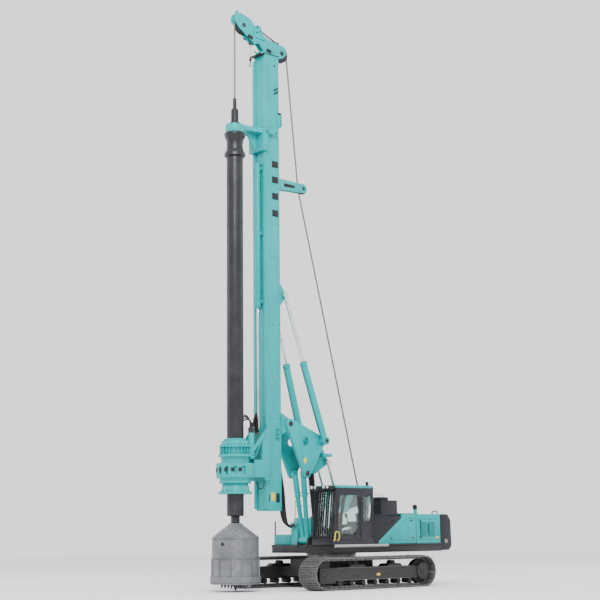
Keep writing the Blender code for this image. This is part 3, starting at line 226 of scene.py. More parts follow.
# Braided hydraulic hose: wrapped ribs along its length.
def hoseRubber(name):
    made, look = startMaterial(name, 0.42)
    ribs = wavesOf(look, look[2].outputs["UV"], 28.0, 0.4, "Y")["Fac"]
    give(look[1], Base_Color=rampOf(look, ribs, (0.2, (0.008, 0.008, 0.009)), (0.9, (0.022, 0.022, 0.024))),
         Roughness=rampOf(look, noiseAt(look, 0.10, 5.0), (0.3, 0.35), (0.7, 0.6)))
    bumpOf(look, ribs, 0.35, 0.002)
    return made


# Laid wire rope: strands slanting round it, greased in the hollows.
def wireRope(name):
    made, look = startMaterial(name, 0.45, 0.7)
    lay = newNode(look[0], "ShaderNodeMapping", Vector=look[2].outputs["UV"], Rotation=(0, 0, 0.6))
    strands = wavesOf(look, lay.outputs[0], 9.0, 0.2)["Fac"]
    give(look[1], Base_Color=rampOf(look, strands, (0.15, (0.05, 0.045, 0.04)), (0.8, (0.30, 0.28, 0.26))),
         Roughness=rampOf(look, noiseAt(look, 0.4, 5.0), (0.3, 0.3), (0.7, 0.6)))
    bumpOf(look, strands, 0.6, 0.004)
    return made


# Tinted cab glass with a thin film of dust.
def tintedGlass(name, colour=(0.80, 0.93, 0.91), clear=0.96):
    made, look = startMaterial(name, 0.03)
    film = noiseAt(look, 0.22, 6.0, roughness=0.7)
    give(look[1], IOR=1.45, Transmission_Weight=clear,
         Base_Color=rampOf(look, film, (0.35, colour), (0.8, tuple(c * 0.9 for c in colour))),
         Roughness=rampOf(look, film, (0.45, 0.02), (0.85, 0.14)))
    return made


# Printed vinyl: a warning plate's plain colour with scuffs.
def printedVinyl(name, colour, rough=0.4):
    made, look = startMaterial(name, rough)
    fade = noiseAt(look, 0.06, 6.0, roughness=0.7)
    dark, light = shades(colour, 0.80, 1.05)
    give(look[1], Base_Color=rampOf(look, fade, (0.3, dark), (0.62, light)),
         Roughness=rampOf(look, fade, (0.3, rough * 1.4), (0.7, rough * 0.8)))
    bumpOf(look, fade, 0.04, 0.001)
    return made


# Seat cloth: woven ribs both ways, with a soft sheen.
def seatCloth(name, colour=(0.030, 0.032, 0.036)):
    made, look = startMaterial(name, 0.85)
    warp, weft = (wavesOf(look, look[2].outputs["Object"], 110.0, 0.3, way)["Color"] for way in "XZ")
    weave = mixOf(look, "MULTIPLY", 1.0, warp, weft)
    dark, light = shades(colour, 0.6, 2.2)
    give(look[1], Sheen_Weight=0.3, Base_Color=rampOf(look, weave, (0.1, dark), (0.8, light)))
    bumpOf(look, weave, 0.3, 0.001)
    return made


# Lamp lens: moulded flutes in clear plastic.
def lampLens(name, colour=(0.92, 0.93, 0.95)):
    made, look = startMaterial(name, 0.12, 0.0, 0.6)
    flutes = wavesOf(look, look[2].outputs["Object"], 40.0)["Fac"]
    dark, light = shades(colour, 0.75, 1.0)
    give(look[1], Base_Color=rampOf(look, flutes, (0.2, dark), (0.8, light)))
    bumpOf(look, flutes, 0.3, 0.002)
    return made


def floorPaint(name, low=0.86, high=0.90):
    made, look = startMaterial(name, 0.8)
    give(look[1], Base_Color=rampOf(look, noiseAt(look, 3.0, 3.0), (0.3, low), (0.7, high)))
    return made


colours = {
    "teal": (0.0, 0.345, 0.350), "chassis": (0.014, 0.015, 0.020), "cab": (0.020, 0.020, 0.027),
    "weight": (0.018, 0.019, 0.025), "kelly": (0.030, 0.031, 0.036), "bucket": (0.165, 0.172, 0.185),
    "plain": (0.20, 0.205, 0.215), "zinc": (0.36, 0.36, 0.35), "dark": (0.035, 0.035, 0.038),
    "black": (0.014, 0.014, 0.016), "plastic": (0.020, 0.020, 0.022), "sillHighlight": (0.34, 0.35, 0.36),
    "edge": (0.085, 0.087, 0.098), "label": (0.80, 0.62, 0.03), "rail": (0.72, 0.60, 0.06),
    "red": (0.6, 0.03, 0.02), "screen": (0.004, 0.008, 0.010),
}

teal = paintOnSteel("machineTeal", colours["teal"], 0.38, 0.05)
tealSoft = paintOnSteel("doorTeal", tuple(c * 1.04 for c in colours["teal"]), 0.35, 0.08, chips=0.12)
chassis = paintOnSteel("chassisGrey", colours["chassis"], 0.45, 0.05, 0.28, 0.35, (0.10, 0.10, 0.11))
cabGrey = paintOnSteel("cabGrey", colours["cab"], 0.40, 0.10, 0.12, 0.15, (0.16, 0.16, 0.17))
weightCast = paintOnSteel("castWeight", colours["weight"], 0.5, 0.05, 0.2, 0.3, (0.15, 0.15, 0.16))
kellySteel = wornSteel("kellySteel", colours["kelly"], 0.36, 0.55, (1, 1, 0.03), 0.10)
bucketSteel = wornSteel("bucketSteel", colours["bucket"], 0.45, 0.35, (1, 1, 0.25), 0.16)
plainSteel = wornSteel("plainSteel", colours["plain"], 0.38, 0.85, rust=0.12)
zincSteel = wornSteel("zincSteel", colours["zinc"], 0.34, 0.9, rust=0.08)
darkSteel = wornSteel("darkSteel", colours["dark"], 0.5, 0.6, rust=0.25)
crawler = trackSteel("crawlerSteel")
chrome = groundChrome("groundChrome")
# Satin black paint; the same material is also painted shade where slots, holes, windows and openings are drawn as
# black plates and discs.
blackPaintAndShade = paintOnSteel("satinBlackAndPaintedShade", colours["black"], 0.45, 0.1, 0.15, 0.1)
rubber = darkMoulding("sealRubber")
plastic = darkMoulding("cabPlastic", colours["plastic"], 0.6, 0.0022, 0.02)
greyPlastic = darkMoulding("lightTrim", (0.20, 0.20, 0.20), 0.55, 0.002, 0.05)
hose = hoseRubber("hoseRubber")
ropeSteel = wireRope("wireRope")
glass = tintedGlass("cabGlass")
mirrorGlass = groundChrome("mirrorGlass")
yellow = printedVinyl("yellowVinyl", colours["label"])
# Light grey standing for the highlight along the rounded sill under the cab: a painted highlight.
sillHighlightPaint = paintOnSteel("deckSillPaintedHighlight", colours["sillHighlight"], 0.3, 0.4, 0.15, 0.1)
edgeWear = paintOnSteel("edgeWear", colours["edge"], 0.4, 0.1, 0.2, 0.3, (0.2, 0.2, 0.21))
yellowPaint = paintOnSteel("railYellow", colours["rail"], 0.35, 0.3, 0.1, 0.2)
cloth = seatCloth("seatCloth")
lens = lampLens("lampLens")
redLens = lampLens("redLens", colours["red"])
print("materials ready")


def placed(name, data):
    made = bpy.data.objects.new(name, data)
    bpy.context.scene.collection.objects.link(made)
    return made


def shaded(mesh, sharp=35):
    mesh.shade_smooth()
    mesh.set_sharp_from_angle(angle=math.radians(sharp))


def finished(shape, material, sharp=35, outwards=True, name="piece"):
    if outwards:
        bmesh.ops.recalc_face_normals(shape, faces=shape.faces)
    mesh = bpy.data.meshes.new(name)
    shape.to_mesh(mesh)
    shape.free()
    shaded(mesh, sharp)
    mesh.materials.append(material)
    return placed(name, mesh)


# Bevels the edges sharper than an angle; edges shorter than the least length stay.
def softened(shape, width, angle=30, least=0.0):
    if width <= 0:
        return
    limit = math.radians(angle)
    edges = [e for e in shape.edges if len(e.link_faces) == 2 and e.calc_face_angle(0) > limit
             and e.calc_length() > least]
    bmesh.ops.bevel(shape, geom=edges, offset=width, segments=2, profile=0.5, affect="EDGES",
                    clamp_overlap=True)


def slab(low, high, material, soft=0.008):
    sides = [sorted(pair) for pair in zip(low, high)]
    shape = bmesh.new()
    bmesh.ops.create_cube(shape, size=1)
    for corner in shape.verts:
        corner.co = [a + (b - a) * (c + 0.5) for (a, b), c in zip(sides, corner.co)]
    softened(shape, min(soft, 0.45 * min(b - a for a, b in sides)))
    return finished(shape, material)


# A point in the plane across an axis, at a height along it.
def across(axis, a, b, along):
    return {"X": (along, a, b), "Y": (a, along, b), "Z": (a, b, along)}[axis]


# An outline across an axis, made solid between two heights.
def plate(outline, low, high, material, soft=0.006, axis="X"):
    shape = bmesh.new()
    ends = [[shape.verts.new(across(axis, a, b, along)) for a, b in outline] for along in sorted((low, high))]
    for end in ends:
        shape.faces.new(end)
    for index in range(len(outline)):
        after = (index + 1) % len(outline)
        shape.faces.new((ends[0][index], ends[0][after], ends[1][after], ends[1][index]))
    bmesh.ops.recalc_face_normals(shape, faces=shape.faces)
    softened(shape, min(soft, 0.4 * abs(high - low)), 40)
    return finished(shape, material)


def rectangle(a, b, c, d):
    return [(a, c), (b, c), (b, d), (a, d)]


def roundedOutline(points, radius, steps=5):
    made = []
    for index, point in enumerate(points):
        here = Vector(point)
        before = Vector(points[index - 1]) - here
        after = Vector(points[(index + 1) % len(points)]) - here
        reach = min(radius / math.tan(before.angle(after) / 2), 0.45 * before.length, 0.45 * after.length)
        start, end = here + before.normalized() * reach, here + after.normalized() * reach
        for step in range(steps + 1):
            t = step / steps
            made.append(tuple(start * (1 - t) ** 2 + here * 2 * t * (1 - t) + end * t ** 2))
    return made


def roundedRectangle(a, b, c, d, radius, steps=5):
    return roundedOutline(rectangle(a, b, c, d), radius, steps)


def turnTo(direction):
    return Vector(upwards).rotation_difference(Vector(direction).normalized()).to_matrix()


# A profile of radius and height pairs, turned round a direction from its base.
def lathe(profile, base, direction, material, sides=32, sharp=35):
    turn = turnTo(direction)
    shape = bmesh.new()
    rings = []
    for radius, along in profile:
        angles = [math.tau * (side + 0.5) / sides for side in range(sides if radius else 1)]
        rings.append([shape.verts.new(turn @ Vector((radius * math.cos(a), radius * math.sin(a), along))
                                      + Vector(base)) for a in angles])
    for here, there in zip(rings, rings[1:] + rings[:1]):
        if len(here) == len(there) == 1:
            continue
        for side in range(sides):
            after = (side + 1) % sides
            corners = dict.fromkeys((here[side % len(here)], here[after % len(here)],
                                     there[after % len(there)], there[side % len(there)]))
            if len(corners) > 2:
                shape.faces.new(list(corners))
    return finished(shape, material, sharp)


def disc(radius, height):
    return [(0, 0), (radius, 0), (radius, height), (0, height)]


def hollow(inner, outer, height):
    return [(inner, 0), (outer, 0), (outer, height), (inner, height)]


def bar(start, end, radius, material, sides=16):
    way = Vector(end) - Vector(start)
    edge = min(radius * 0.15, way.length * 0.3)
    profile = [(0, 0), (radius - edge, 0), (radius, edge), (radius, way.length - edge),
               (radius - edge, way.length), (0, way.length)]
    return lathe(profile, start, way, material, sides)


def smoothLine(points, steps=8):
    spots = [Vector(p) for p in points]
    spots = [spots[0] * 2 - spots[1], *spots, spots[-1] * 2 - spots[-2]]
    made = []
    for a, b, c, d in zip(spots, spots[1:], spots[2:], spots[3:]):
        for step in range(steps):
            t = step / steps
            made.append(0.5 * ((2 * b) + (c - a) * t + (2 * a - 5 * b + 4 * c - d) * t ** 2
                               + (3 * b - a - 3 * c + d) * t ** 3))
    return made + [spots[-2]]


# A round tube along a line; with lobes it is a laid rope, one turn of the strands each lay length.
def tube(points, radius, material, sides=10, straight=False, lobes=0, lay=0.12):
    line = [Vector(p) for p in points] if straight else smoothLine(points)
    shape = bmesh.new()
    uv = shape.loops.layers.uv.new("UVMap")
    side = (line[1] - line[0]).normalized().orthogonal().normalized()
    rings, travelled, lengths = [], 0.0, []
    for index, spot in enumerate(line):
        ahead = line[min(index + 1, len(line) - 1)] - line[max(index - 1, 0)]
        ahead.normalize()
        side = (side - ahead * side.dot(ahead)).normalized()
        other = ahead.cross(side)
        if index:
            travelled += (spot - line[index - 1]).length
        lengths.append(travelled)
        ring = []
        for step in range(sides):
            angle = math.tau * step / sides
            swell = 0.10 * math.cos(lobes * angle + math.tau * travelled / lay) if lobes else 0
            r = radius * (1 + swell)
            ring.append(shape.verts.new(spot + side * math.cos(angle) * r + other * math.sin(angle) * r))
        rings.append(ring)
    for index, (ring, later) in enumerate(zip(rings, rings[1:])):
        for step in range(sides):
            after = (step + 1) % sides
            face = shape.faces.new((ring[step], ring[after], later[after], later[step]))
            values = ((step, index), (step + 1, index), (step + 1, index + 1), (step, index + 1))
            for loop, (u, v) in zip(face.loops, values):
                loop[uv].uv = (u / sides, lengths[v])
    shape.faces.new(rings[0])
    shape.faces.new(rings[-1][::-1])
    return finished(shape, material, 60)


def merged(name, pieces, body=None):
    made = bpy.data.meshes.new(name)
    shape = bmesh.new()
    materials = []
    for piece in pieces:
        start = len(shape.faces)
        shape.from_mesh(piece.data)
        shape.faces.ensure_lookup_table()
        for face in shape.faces[start:]:
            used = piece.data.materials[face.material_index]
            if used not in materials:
                materials.append(used)
            face.material_index = materials.index(used)
    shape.to_mesh(made)
    shape.free()
    for material in materials:
        made.materials.append(material)
    for piece in pieces:
        bpy.data.objects.remove(piece)
    whole = placed(name, made)
    if body:
        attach(whole, body)
    return whole


def moved(piece, matrix):
    piece.data.transform(matrix)
    return piece


# The mesh that an object's modifiers make, kept as its own mesh.
def settled(piece, helpers):
    bpy.context.view_layer.update()
    graph = bpy.context.evaluated_depsgraph_get()
    result = bpy.data.meshes.new_from_object(piece.evaluated_get(graph))
    piece.modifiers.clear()
    piece.data = result
    for helper in helpers:
        bpy.data.objects.remove(helper)
    return piece


def carved(piece, cutters):
    for cutter in cutters:
        step = piece.modifiers.new("carve", "BOOLEAN")
        step.object = cutter
        step.solver = "EXACT"
    shaded(settled(piece, cutters).data)
    return piece


# A CAD part with its loose triangles merged and its edges eased, standing for the plain one.
def eased(node, material, width=0.008):
    source = parts[node]
    shape = bmesh.new()
    shape.from_mesh(source.data)
    bmesh.ops.remove_doubles(shape, verts=shape.verts, dist=4e-5)
    bmesh.ops.dissolve_limit(shape, angle_limit=math.radians(0.6), verts=shape.verts, edges=shape.edges)
    softened(shape, width, 38, width * 2.2)
    made = finished(shape, material, outwards=False, name=node + "Skin")
    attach(made, source["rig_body"])
    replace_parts(made, node)
    return made


# Starts a node tree that copies a piece; every tree ends in placeCopies.
def newTree(name, *inputs):
    tree = bpy.data.node_groups.new(name, "GeometryNodeTree")
    ids = {}
    shared = (("piece", "Object", None), ("howMany", "Int", 8), ("material", "Material", None))
    for socketName, kind, value in (*shared, *inputs):
        socket = tree.interface.new_socket(name=socketName, in_out="INPUT", socket_type="NodeSocket" + kind)
        if value is not None:
            socket.default_value = value
        ids[socketName] = socket.identifier
    tree.interface.new_socket(name="Geometry", in_out="OUTPUT", socket_type="NodeSocketGeometry")
    return tree, ids, tree.nodes.new("NodeGroupInput").outputs


def placeCopies(tree, given, points, **turned):
    info = newNode(tree, "GeometryNodeObjectInfo", Object=given["piece"])
    copies = newNode(tree, "GeometryNodeInstanceOnPoints", Points=points, Instance=info.outputs["Geometry"],
                     **turned)
    real = newNode(tree, "GeometryNodeRealizeInstances", Geometry=copies.outputs["Instances"])
    dress = newNode(tree, "GeometryNodeSetMaterial", Geometry=real.outputs["Geometry"],
                    Material=given["material"])
    newNode(tree, "NodeGroupOutput", Geometry=dress.outputs["Geometry"])


def ringTree():
    tree, ids, given = newTree("piecesInRing", ("radius", "Float", 1.0), ("first", "Float", 0.0))
    line = newNode(tree, "GeometryNodeMeshLine", Count=given["howMany"], Offset=(0, 0, 0))
    index = tree.nodes.new("GeometryNodeInputIndex").outputs[0]
    swept = mathOf(tree, "MULTIPLY", mathOf(tree, "DIVIDE", index, given["howMany"]), math.tau)
    angle = mathOf(tree, "ADD", swept, given["first"])
    x, y = (mathOf(tree, "MULTIPLY", mathOf(tree, wave, angle), given["radius"]) for wave in ("COSINE", "SINE"))
    spot = newNode(tree, "ShaderNodeCombineXYZ", X=x, Y=y)
    turn = newNode(tree, "ShaderNodeCombineXYZ", Z=angle)
    place = newNode(tree, "GeometryNodeSetPosition", Geometry=line.outputs["Mesh"], Position=spot.outputs[0])
    placeCopies(tree, given, place.outputs["Geometry"], Rotation=turn.outputs[0])
    return tree, ids


def rowTree():
    tree, ids, given = newTree("piecesInRow", ("step", "Vector", (0, 0, 1)))
    line = newNode(tree, "GeometryNodeMeshLine", Count=given["howMany"], Offset=given["step"])
    placeCopies(tree, given, line.outputs["Mesh"])
    return tree, ids


def beltTree():
    tree, ids, given = newTree("piecesRoundBelt", ("path", "Object", None))
    path = newNode(tree, "GeometryNodeObjectInfo", Object=given["path"])
    even = newNode(tree, "GeometryNodeResampleCurve", Curve=path.outputs["Geometry"], Count=given["howMany"])
    way = tree.nodes.new("GeometryNodeInputTangent")
    split = newNode(tree, "ShaderNodeSeparateXYZ", Vector=way.outputs["Tangent"])
    turn = newNode(tree, "ShaderNodeCombineXYZ",
                   X=mathOf(tree, "ARCTAN2", split.outputs["Z"], split.outputs["Y"]))
    placeCopies(tree, given, even.outputs["Curve"], Rotation=turn.outputs[0])
    return tree, ids


ringOf, rowOf, beltOf = ringTree(), rowTree(), beltTree()


def grown(name, treeAndIds, helpers, **values):
    host = placed(name, bpy.data.meshes.new(name))
    step = host.modifiers.new(name, "NODES")
    step.node_group, ids = treeAndIds
    for socketName, value in values.items():
        step[ids[socketName]] = value
    return settled(host, helpers)


# Copies of a piece round an axis; the piece is made at the origin, outward along +X.
def inRing(piece, howMany, radius, centre, axis=upwards, first=0.0):
    made = grown("ring", ringOf, [piece], piece=piece, howMany=howMany, radius=radius, first=first,
                 material=piece.data.materials[0])
    return moved(made, Matrix.Translation(Vector(centre)) @ turnTo(axis).to_4x4())


def inRow(piece, howMany, step):
    return grown("row", rowOf, [piece], piece=piece, howMany=howMany, step=step,
                 material=piece.data.materials[0])


def bolt(size=0.022, height=0.016, material=zincSteel, direction=upwards, at=(0, 0, 0)):
    profile = [(0, -0.004), (size * 1.25, -0.004), (size * 1.25, 0.003), (size, 0.003), (size, height * 0.8),
               (size * 0.8, height), (0, height)]
    return lathe(profile, at, direction, material, 6, 25)


def boltRing(count, radius, centre, axis=upwards, size=0.018, height=0.016, material=zincSteel, first=0.0):
    return inRing(bolt(size, height, material), count, radius, centre, axis, first)


print("tools ready")


# Crawler tracks: shoes, links and bolts run round one loop.
crawlerLook = {
    "shoes": 54, "width": 0.80, "shoeHalf": 0.1075, "thick": 0.025, "grouserHigh": 0.030,
    "grousers": (-0.070, 0.0, 0.070), "linkX": 0.105, "wheelY": 2.145, "wheelZ": 0.495, "beltRadius": 0.44,
    "side": 1.7625,
}


def trackShoe(look):
    half, foot, top = look["width"] / 2, look["thick"] - 0.002, look["thick"] + look["grouserHigh"]
    pieces = [slab((-half, -look["shoeHalf"], 0), (half, look["shoeHalf"], look["thick"]), crawler, 0.006)]
    for y in look["grousers"]:
        outline = [(y - 0.015, foot), (y + 0.015, foot), (y + 0.007, top), (y - 0.007, top)]
        pieces.append(plate(outline, -half + 0.004, half - 0.004, crawler, 0.003))
    for x in (-look["linkX"], look["linkX"]):
        link = roundedRectangle(-0.115, 0.108, -0.062, 0.002, 0.028, 3)
        pieces.append(plate(link, x - 0.020, x + 0.020, crawler, 0.004))
        pieces += [bolt(0.013, 0.011, crawler, at=(x + aside, y, look["thick"]))
                   for y in (-0.035, 0.035) for aside in (-0.045, 0.045)]
    pieces.append(bar((-0.15, -0.104, -0.032), (0.15, -0.104, -0.032), 0.019, crawler, 12))
    return merged("trackShoe", pieces)


def beltPath(look, x):
    spots = []
    for centre, start in ((look["wheelY"], math.pi / 2), (-look["wheelY"], -math.pi / 2)):
        for step in range(25):
            angle = start - math.pi * step / 24
            spots.append((x, centre + look["beltRadius"] * math.cos(angle),
                          look["wheelZ"] + look["beltRadius"] * math.sin(angle), 1))
    curve = bpy.data.curves.new("beltPath", "CURVE")
    curve.dimensions = "3D"
    line = curve.splines.new("POLY")
    line.points.add(len(spots) - 1)
    for point, spot in zip(line.points, spots):
        point.co = spot
    line.use_cyclic_u = True
    return placed("beltPath", curve)


for side, name in ((1, "Left"), (-1, "Right")):
    shoe, path = trackShoe(crawlerLook), beltPath(crawlerLook, side * crawlerLook["side"])
    belt = grown("crawlerBelt" + name, beltOf, [shoe, path], path=path, piece=shoe,
                 howMany=crawlerLook["shoes"], material=crawler)
    shaded(belt.data)
    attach(belt, "undercarriage")
    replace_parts(belt, "track_" + name.lower())
print("crawler belts done")


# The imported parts: paint, slot, and how wide the edges of each part are eased.
easedParts = (
    (chassis, "grey_paint", {"car_body": 0.012, "track_frame_left": 0.008, "track_frame_right": 0.008}),
    (plainSteel, "bare_steel", {"slewing_ring": 0.005}),
    (chassis, "grey_paint", {"platform": 0.008}),
    (cabGrey, "grey_paint", {"cab": 0.010, "cab_door": 0.008}),
    (blackPaintAndShade, "black_paint", {"cab_guard": 0.003}),
    (chassis, "grey_paint", {"service_shelf": 0.008}),
    (teal, "teal_paint", {"side_cabinet_left": 0.016, "side_cabinet_right": 0.016, "engine_house": 0.016}),
    (darkSteel, "bare_steel", {"engine_block": 0.02}),
    (weightCast, "cast_weight", {"counterweight": 0.03}),
    (teal, "teal_paint", {"fuel_tank": 0.016, "winch_frame": 0.008}),
    (tealSoft, "teal_paint", {"engine_door_left": 0.012, "engine_door_right": 0.012, "engine_hood": 0.012}),
    (darkSteel, "bare_steel", {"winch_drum": 0.006}),
    (teal, "teal_paint", {"boom": 0.006}),
    (chassis, "grey_paint", {"support_link": 0.006}),
    (teal, "teal_paint", {"triangle": 0.008}),
    (chassis, None, {"luff_barrel_left": 0.005, "luff_barrel_right": 0.005}),
    (teal, "teal_paint", {"mast_barrel_left": 0.005, "mast_barrel_right": 0.005}),
    (chrome, "chrome_rod", {"luff_rod_left": 0.003, "luff_rod_right": 0.003, "mast_rod_left": 0.003,
                            "mast_rod_right": 0.003, "crowd_rod": 0.003}),
    (teal, "teal_paint", {"mast": 0.012, "mast_head": 0.006, "crowd_barrel": 0.005}),
    (darkSteel, "grey_paint", {"front_sheave": 0.004, "rear_sheave": 0.004, "guide_pulley": 0.004}),
    (teal, "teal_paint", {"power_head_carriage": 0.008, "gearbox": 0.008, "drive_sleeve": 0.006,
                          "kelly_guide": 0.006}),
    (darkSteel, "black_paint", {"swivel": 0.006}),
    (bucketSteel, "bare_steel", {"bucket": 0.005, "bucket_lid": 0.005}),
)
skins = {}
for paint, slotName, widths in easedParts:
    for node, width in widths.items():
        skins[node] = eased(node, paint, width)
headWindow = [(-3.24, 17.60), (-3.02, 17.68), (-2.84, 17.44), (-3.02, 17.42)]
carved(skins["mast_head"], [plate(headWindow, -0.5, 0.5, teal, 0)])
for node in ("windscreen", "door_glass"):
    eased(node, glass, 0.002)
print("packed parts eased")


# Kelly bar: tube with driving ribs, a flared collar and a square stub.
kellyLook = {
    "y": -3.98, "radius": 0.262, "low": 2.26, "high": 13.63, "stubLow": 2.05, "ribs": 6,
    "collar": [(0, 0), (0.30, 0), (0.338, 0.02), (0.338, 0.10), (0.322, 0.14), (0.290, 0.18), (0.268, 0.25),
               (0.258, 0.36), (0.260, 0.46), (0.275, 0.55), (0.300, 0.62), (0.330, 0.67), (0.338, 0.70),
               (0.338, 0.78), (0.32, 0.80), (0, 0.80)],
}
toolY = kellyLook["y"]


def onTool(z):
    return (0, toolY, z)


def kellyBar(look):
    radius, low, high = look["radius"], look["low"], look["high"]
    length = high - low
    body = [(0, 0), (radius - 0.02, 0), (radius, 0.02), (radius, length), (0, length)]
    rib = slab((-0.004, -0.016, 0), (0.010, 0.016, length - 0.5), kellySteel, 0.004)
    return [lathe(body, onTool(low), upwards, kellySteel, 72),
            lathe(look["collar"], onTool(high), upwards, kellySteel, 72),
            slab((-0.10, toolY - 0.10, look["stubLow"]), (0.10, toolY + 0.10, low + 0.01), kellySteel),
            inRing(rib, look["ribs"], radius - 0.004, onTool(low + 0.45), first=0.35),
            boltRing(12, 0.297, onTool(high + 0.80), upwards, 0.016, 0.014, plainSteel)]


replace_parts(merged("kellyBar", kellyBar(kellyLook), "kelly"), "kelly")
print("kelly bar done")


# A soft cushion with crowned faces, a sewn seam and pulled-in corners.
def cushion(low, high, material):
    shape = bmesh.new()
    bmesh.ops.create_cube(shape, size=1)
    bmesh.ops.subdivide_edges(shape, edges=shape.edges, cuts=11, use_grid_fill=True)
    size = [b - a for a, b in zip(low, high)]
    thin = size.index(min(size))
    wide = [axis for axis in range(3) if axis != thin]
    for corner in shape.verts:
        near = [abs(corner.co[axis]) * 2 for axis in wide]
        crown = (1 - near[0] ** 4) * (1 - near[1] ** 4)
        seam = 0.10 * math.exp(-((abs(corner.co[wide[0]]) - 0.27) / 0.02) ** 2)
        corner.co[thin] *= 0.62 + 0.38 * crown ** 0.5 - seam
        for axis, other, reach in (*wide, near[0]), (*wide[::-1], near[1]):
            corner.co[axis] *= 1 - 0.035 * (1 - (2 * abs(corner.co[other])) ** 2) * reach ** 6
    for corner in shape.verts:
        corner.co = [a + (b - a) * (c + 0.5) for a, b, c in zip(low, high, corner.co)]
    return finished(shape, material, 60)


# Driver's seat: cushions, console boxes, a sprung bellows, armrests and joysticks.
(left, front, base), (right, rear, top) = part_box("operator_seat")
middle = (left + right) / 2
seatPieces = [
    cushion((middle - 0.235, front + 0.02, base + 0.36), (middle + 0.235, rear - 0.10, base + 0.50), cloth),
    cushion((middle - 0.225, rear - 0.15, base + 0.48), (middle + 0.225, rear - 0.02, top - 0.20), cloth),
    cushion((middle - 0.13, rear - 0.12, top - 0.19), (middle + 0.13, rear - 0.02, top), cloth),
    slab((middle - 0.22, front + 0.05, base + 0.30), (middle + 0.22, rear - 0.06, base + 0.37), plastic, 0.02),
    slab((middle - 0.17, front + 0.10, base), (middle + 0.17, rear - 0.12, base + 0.06), darkSteel, 0.01),
]
for low, high in ((left, left + 0.155), (right - 0.155, right)):
    seatPieces += [slab((low, front + 0.01, base), (high, rear - 0.20, base + 0.40), plastic, 0.025),
                   slab((low + 0.02, front + 0.04, base + 0.398), (high - 0.02, rear - 0.24, base + 0.412),
                        greyPlastic, 0.006)]
for step in range(6):
    z, grow = base + 0.07 + step * 0.038, 0.012 * (step % 2)
    seatPieces.append(slab((middle - 0.15 - grow, front + 0.12 - grow, z),
                           (middle + 0.15 + grow, rear - 0.14 + grow, z + 0.036), rubber, 0.012))
grip = [(0, 0), (0.018, 0), (0.026, 0.04), (0.030, 0.10), (0.022, 0.13), (0, 0.14)]
for side in (-1, 1):
    x = middle + side * 0.215
    seatPieces += [
        cushion((x - 0.035, front + 0.06, base + 0.62), (x + 0.035, rear - 0.14, base + 0.69), plastic),
        bar((x, rear - 0.16, base + 0.34), (x, rear - 0.16, base + 0.63), 0.016, darkSteel),
        bar((x, front + 0.09, base + 0.66), (x, front + 0.05, base + 0.80), 0.010, darkSteel),
        lathe(grip, (x, front + 0.05, base + 0.79), (0, -0.2, 1), plastic, 20)]
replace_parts(merged("driverSeat", seatPieces, "upper"), "operator_seat")
print("seat done")


# Cab: panes with outline, axis, inner face, corner radius and the seal's place; then its fittings.
cabLook = {
    "glassThick": 0.006,
    "panes": (
        (rectangle(-0.975, 0.375, 1.755, 2.965), "X", 0.548, 0.05, 0.529),
        (rectangle(0.625, 1.385, 2.155, 2.965), "Y", 0.474, 0.05, 0.501),
        ([(0.025, 2.025), (0.405, 2.125), (0.405, 2.875), (0.025, 2.875)], "X", 1.455, 0.04, 1.481),
        (rectangle(0.705, 1.305, -0.845, -0.305), "Z", 3.146, 0.05, None)),
    "lampsX": (0.64, 0.80, 1.20, 1.37), "lampAt": (-1.33, 3.155), "beacon": (1.36, 0.34, 3.20),
    "pedalsX": (0.90, 1.08),
}


def sealRound(outline, along, axis, thick=0.011):
    loop = [across(axis, a, b, along) for a, b in roundedOutline(outline, 0.05, 4)]
    return tube(loop + loop[:2], thick, rubber, 8, straight=True)


cabPieces = []
for outline, axis, inner, corner, sealAt in cabLook["panes"]:
    outer = inner + cabLook["glassThick"]
    cabPieces.append(plate(roundedOutline(outline, corner), inner, outer, glass, 0.001, axis))
    if sealAt:
        cabPieces.append(sealRound(outline, sealAt, axis))
cap = plate(roundedRectangle(0.525, 1.485, -1.165, 0.505, 0.09, 6), 3.115, 3.205, teal, 0.022, "Z")
hatch = plate(roundedRectangle(0.68, 1.33, -0.88, -0.27, 0.06), 3.0, 3.4, teal, 0, "Z")
cabPieces.append(carved(cap, [hatch, slab((0.575, -1.10, 3.0), (1.435, 0.455, 3.172), teal, 0)]))
visor = [(-1.33, 3.04), (-1.14, 3.10), (-1.13, 3.17), (-1.20, 3.19), (-1.36, 3.11)]
cabPieces.append(plate(visor, 0.55, 1.46, blackPaintAndShade, 0.008))
shell = [(0, 0), (0.030, 0), (0.052, 0.03), (0.058, 0.075), (0.054, 0.080), (0.050, 0.072), (0, 0.070)]
bowl = [(0, 0.069), (0.051, 0.071), (0.047, 0.079), (0.025, 0.085), (0, 0.087)]
for x in cabLook["lampsX"]:
    for profile, paint in ((shell, blackPaintAndShade), (bowl, lens)):
        cabPieces.append(lathe(profile, (x, *cabLook["lampAt"]), (0, -1, -0.12), paint, 28))
beaconShell = [(0, 0), (0.055, 0), (0.055, 0.03), (0.048, 0.035), (0, 0.035)]
beaconTop = [(0, 0.034), (0.045, 0.034), (0.047, 0.09), (0.036, 0.125), (0.015, 0.138), (0, 0.14)]
cabPieces += [lathe(profile, cabLook["beacon"], upwards, blackPaintAndShade, 28) for profile in (beaconShell, beaconTop)]
wiper = [(0.78, -1.325, 1.66), (0.83, -1.345, 1.95), (0.86, -1.315, 2.25)]
grab = [(1.478, -1.26, 1.50), (1.53, -1.26, 1.50), (1.53, -1.22, 1.74), (1.53, -1.10, 1.74), (1.53, -1.06, 1.62),
        (1.53, -1.10, 1.50), (1.478, -1.12, 1.50)]
handRail = [(1.475, 0.455, 1.60), (1.52, 0.455, 1.65), (1.52, 0.455, 2.50), (1.475, 0.455, 2.55)]
screenGlass = darkMoulding("screenGlass", colours["screen"], 0.1, 0.05, 0.01)
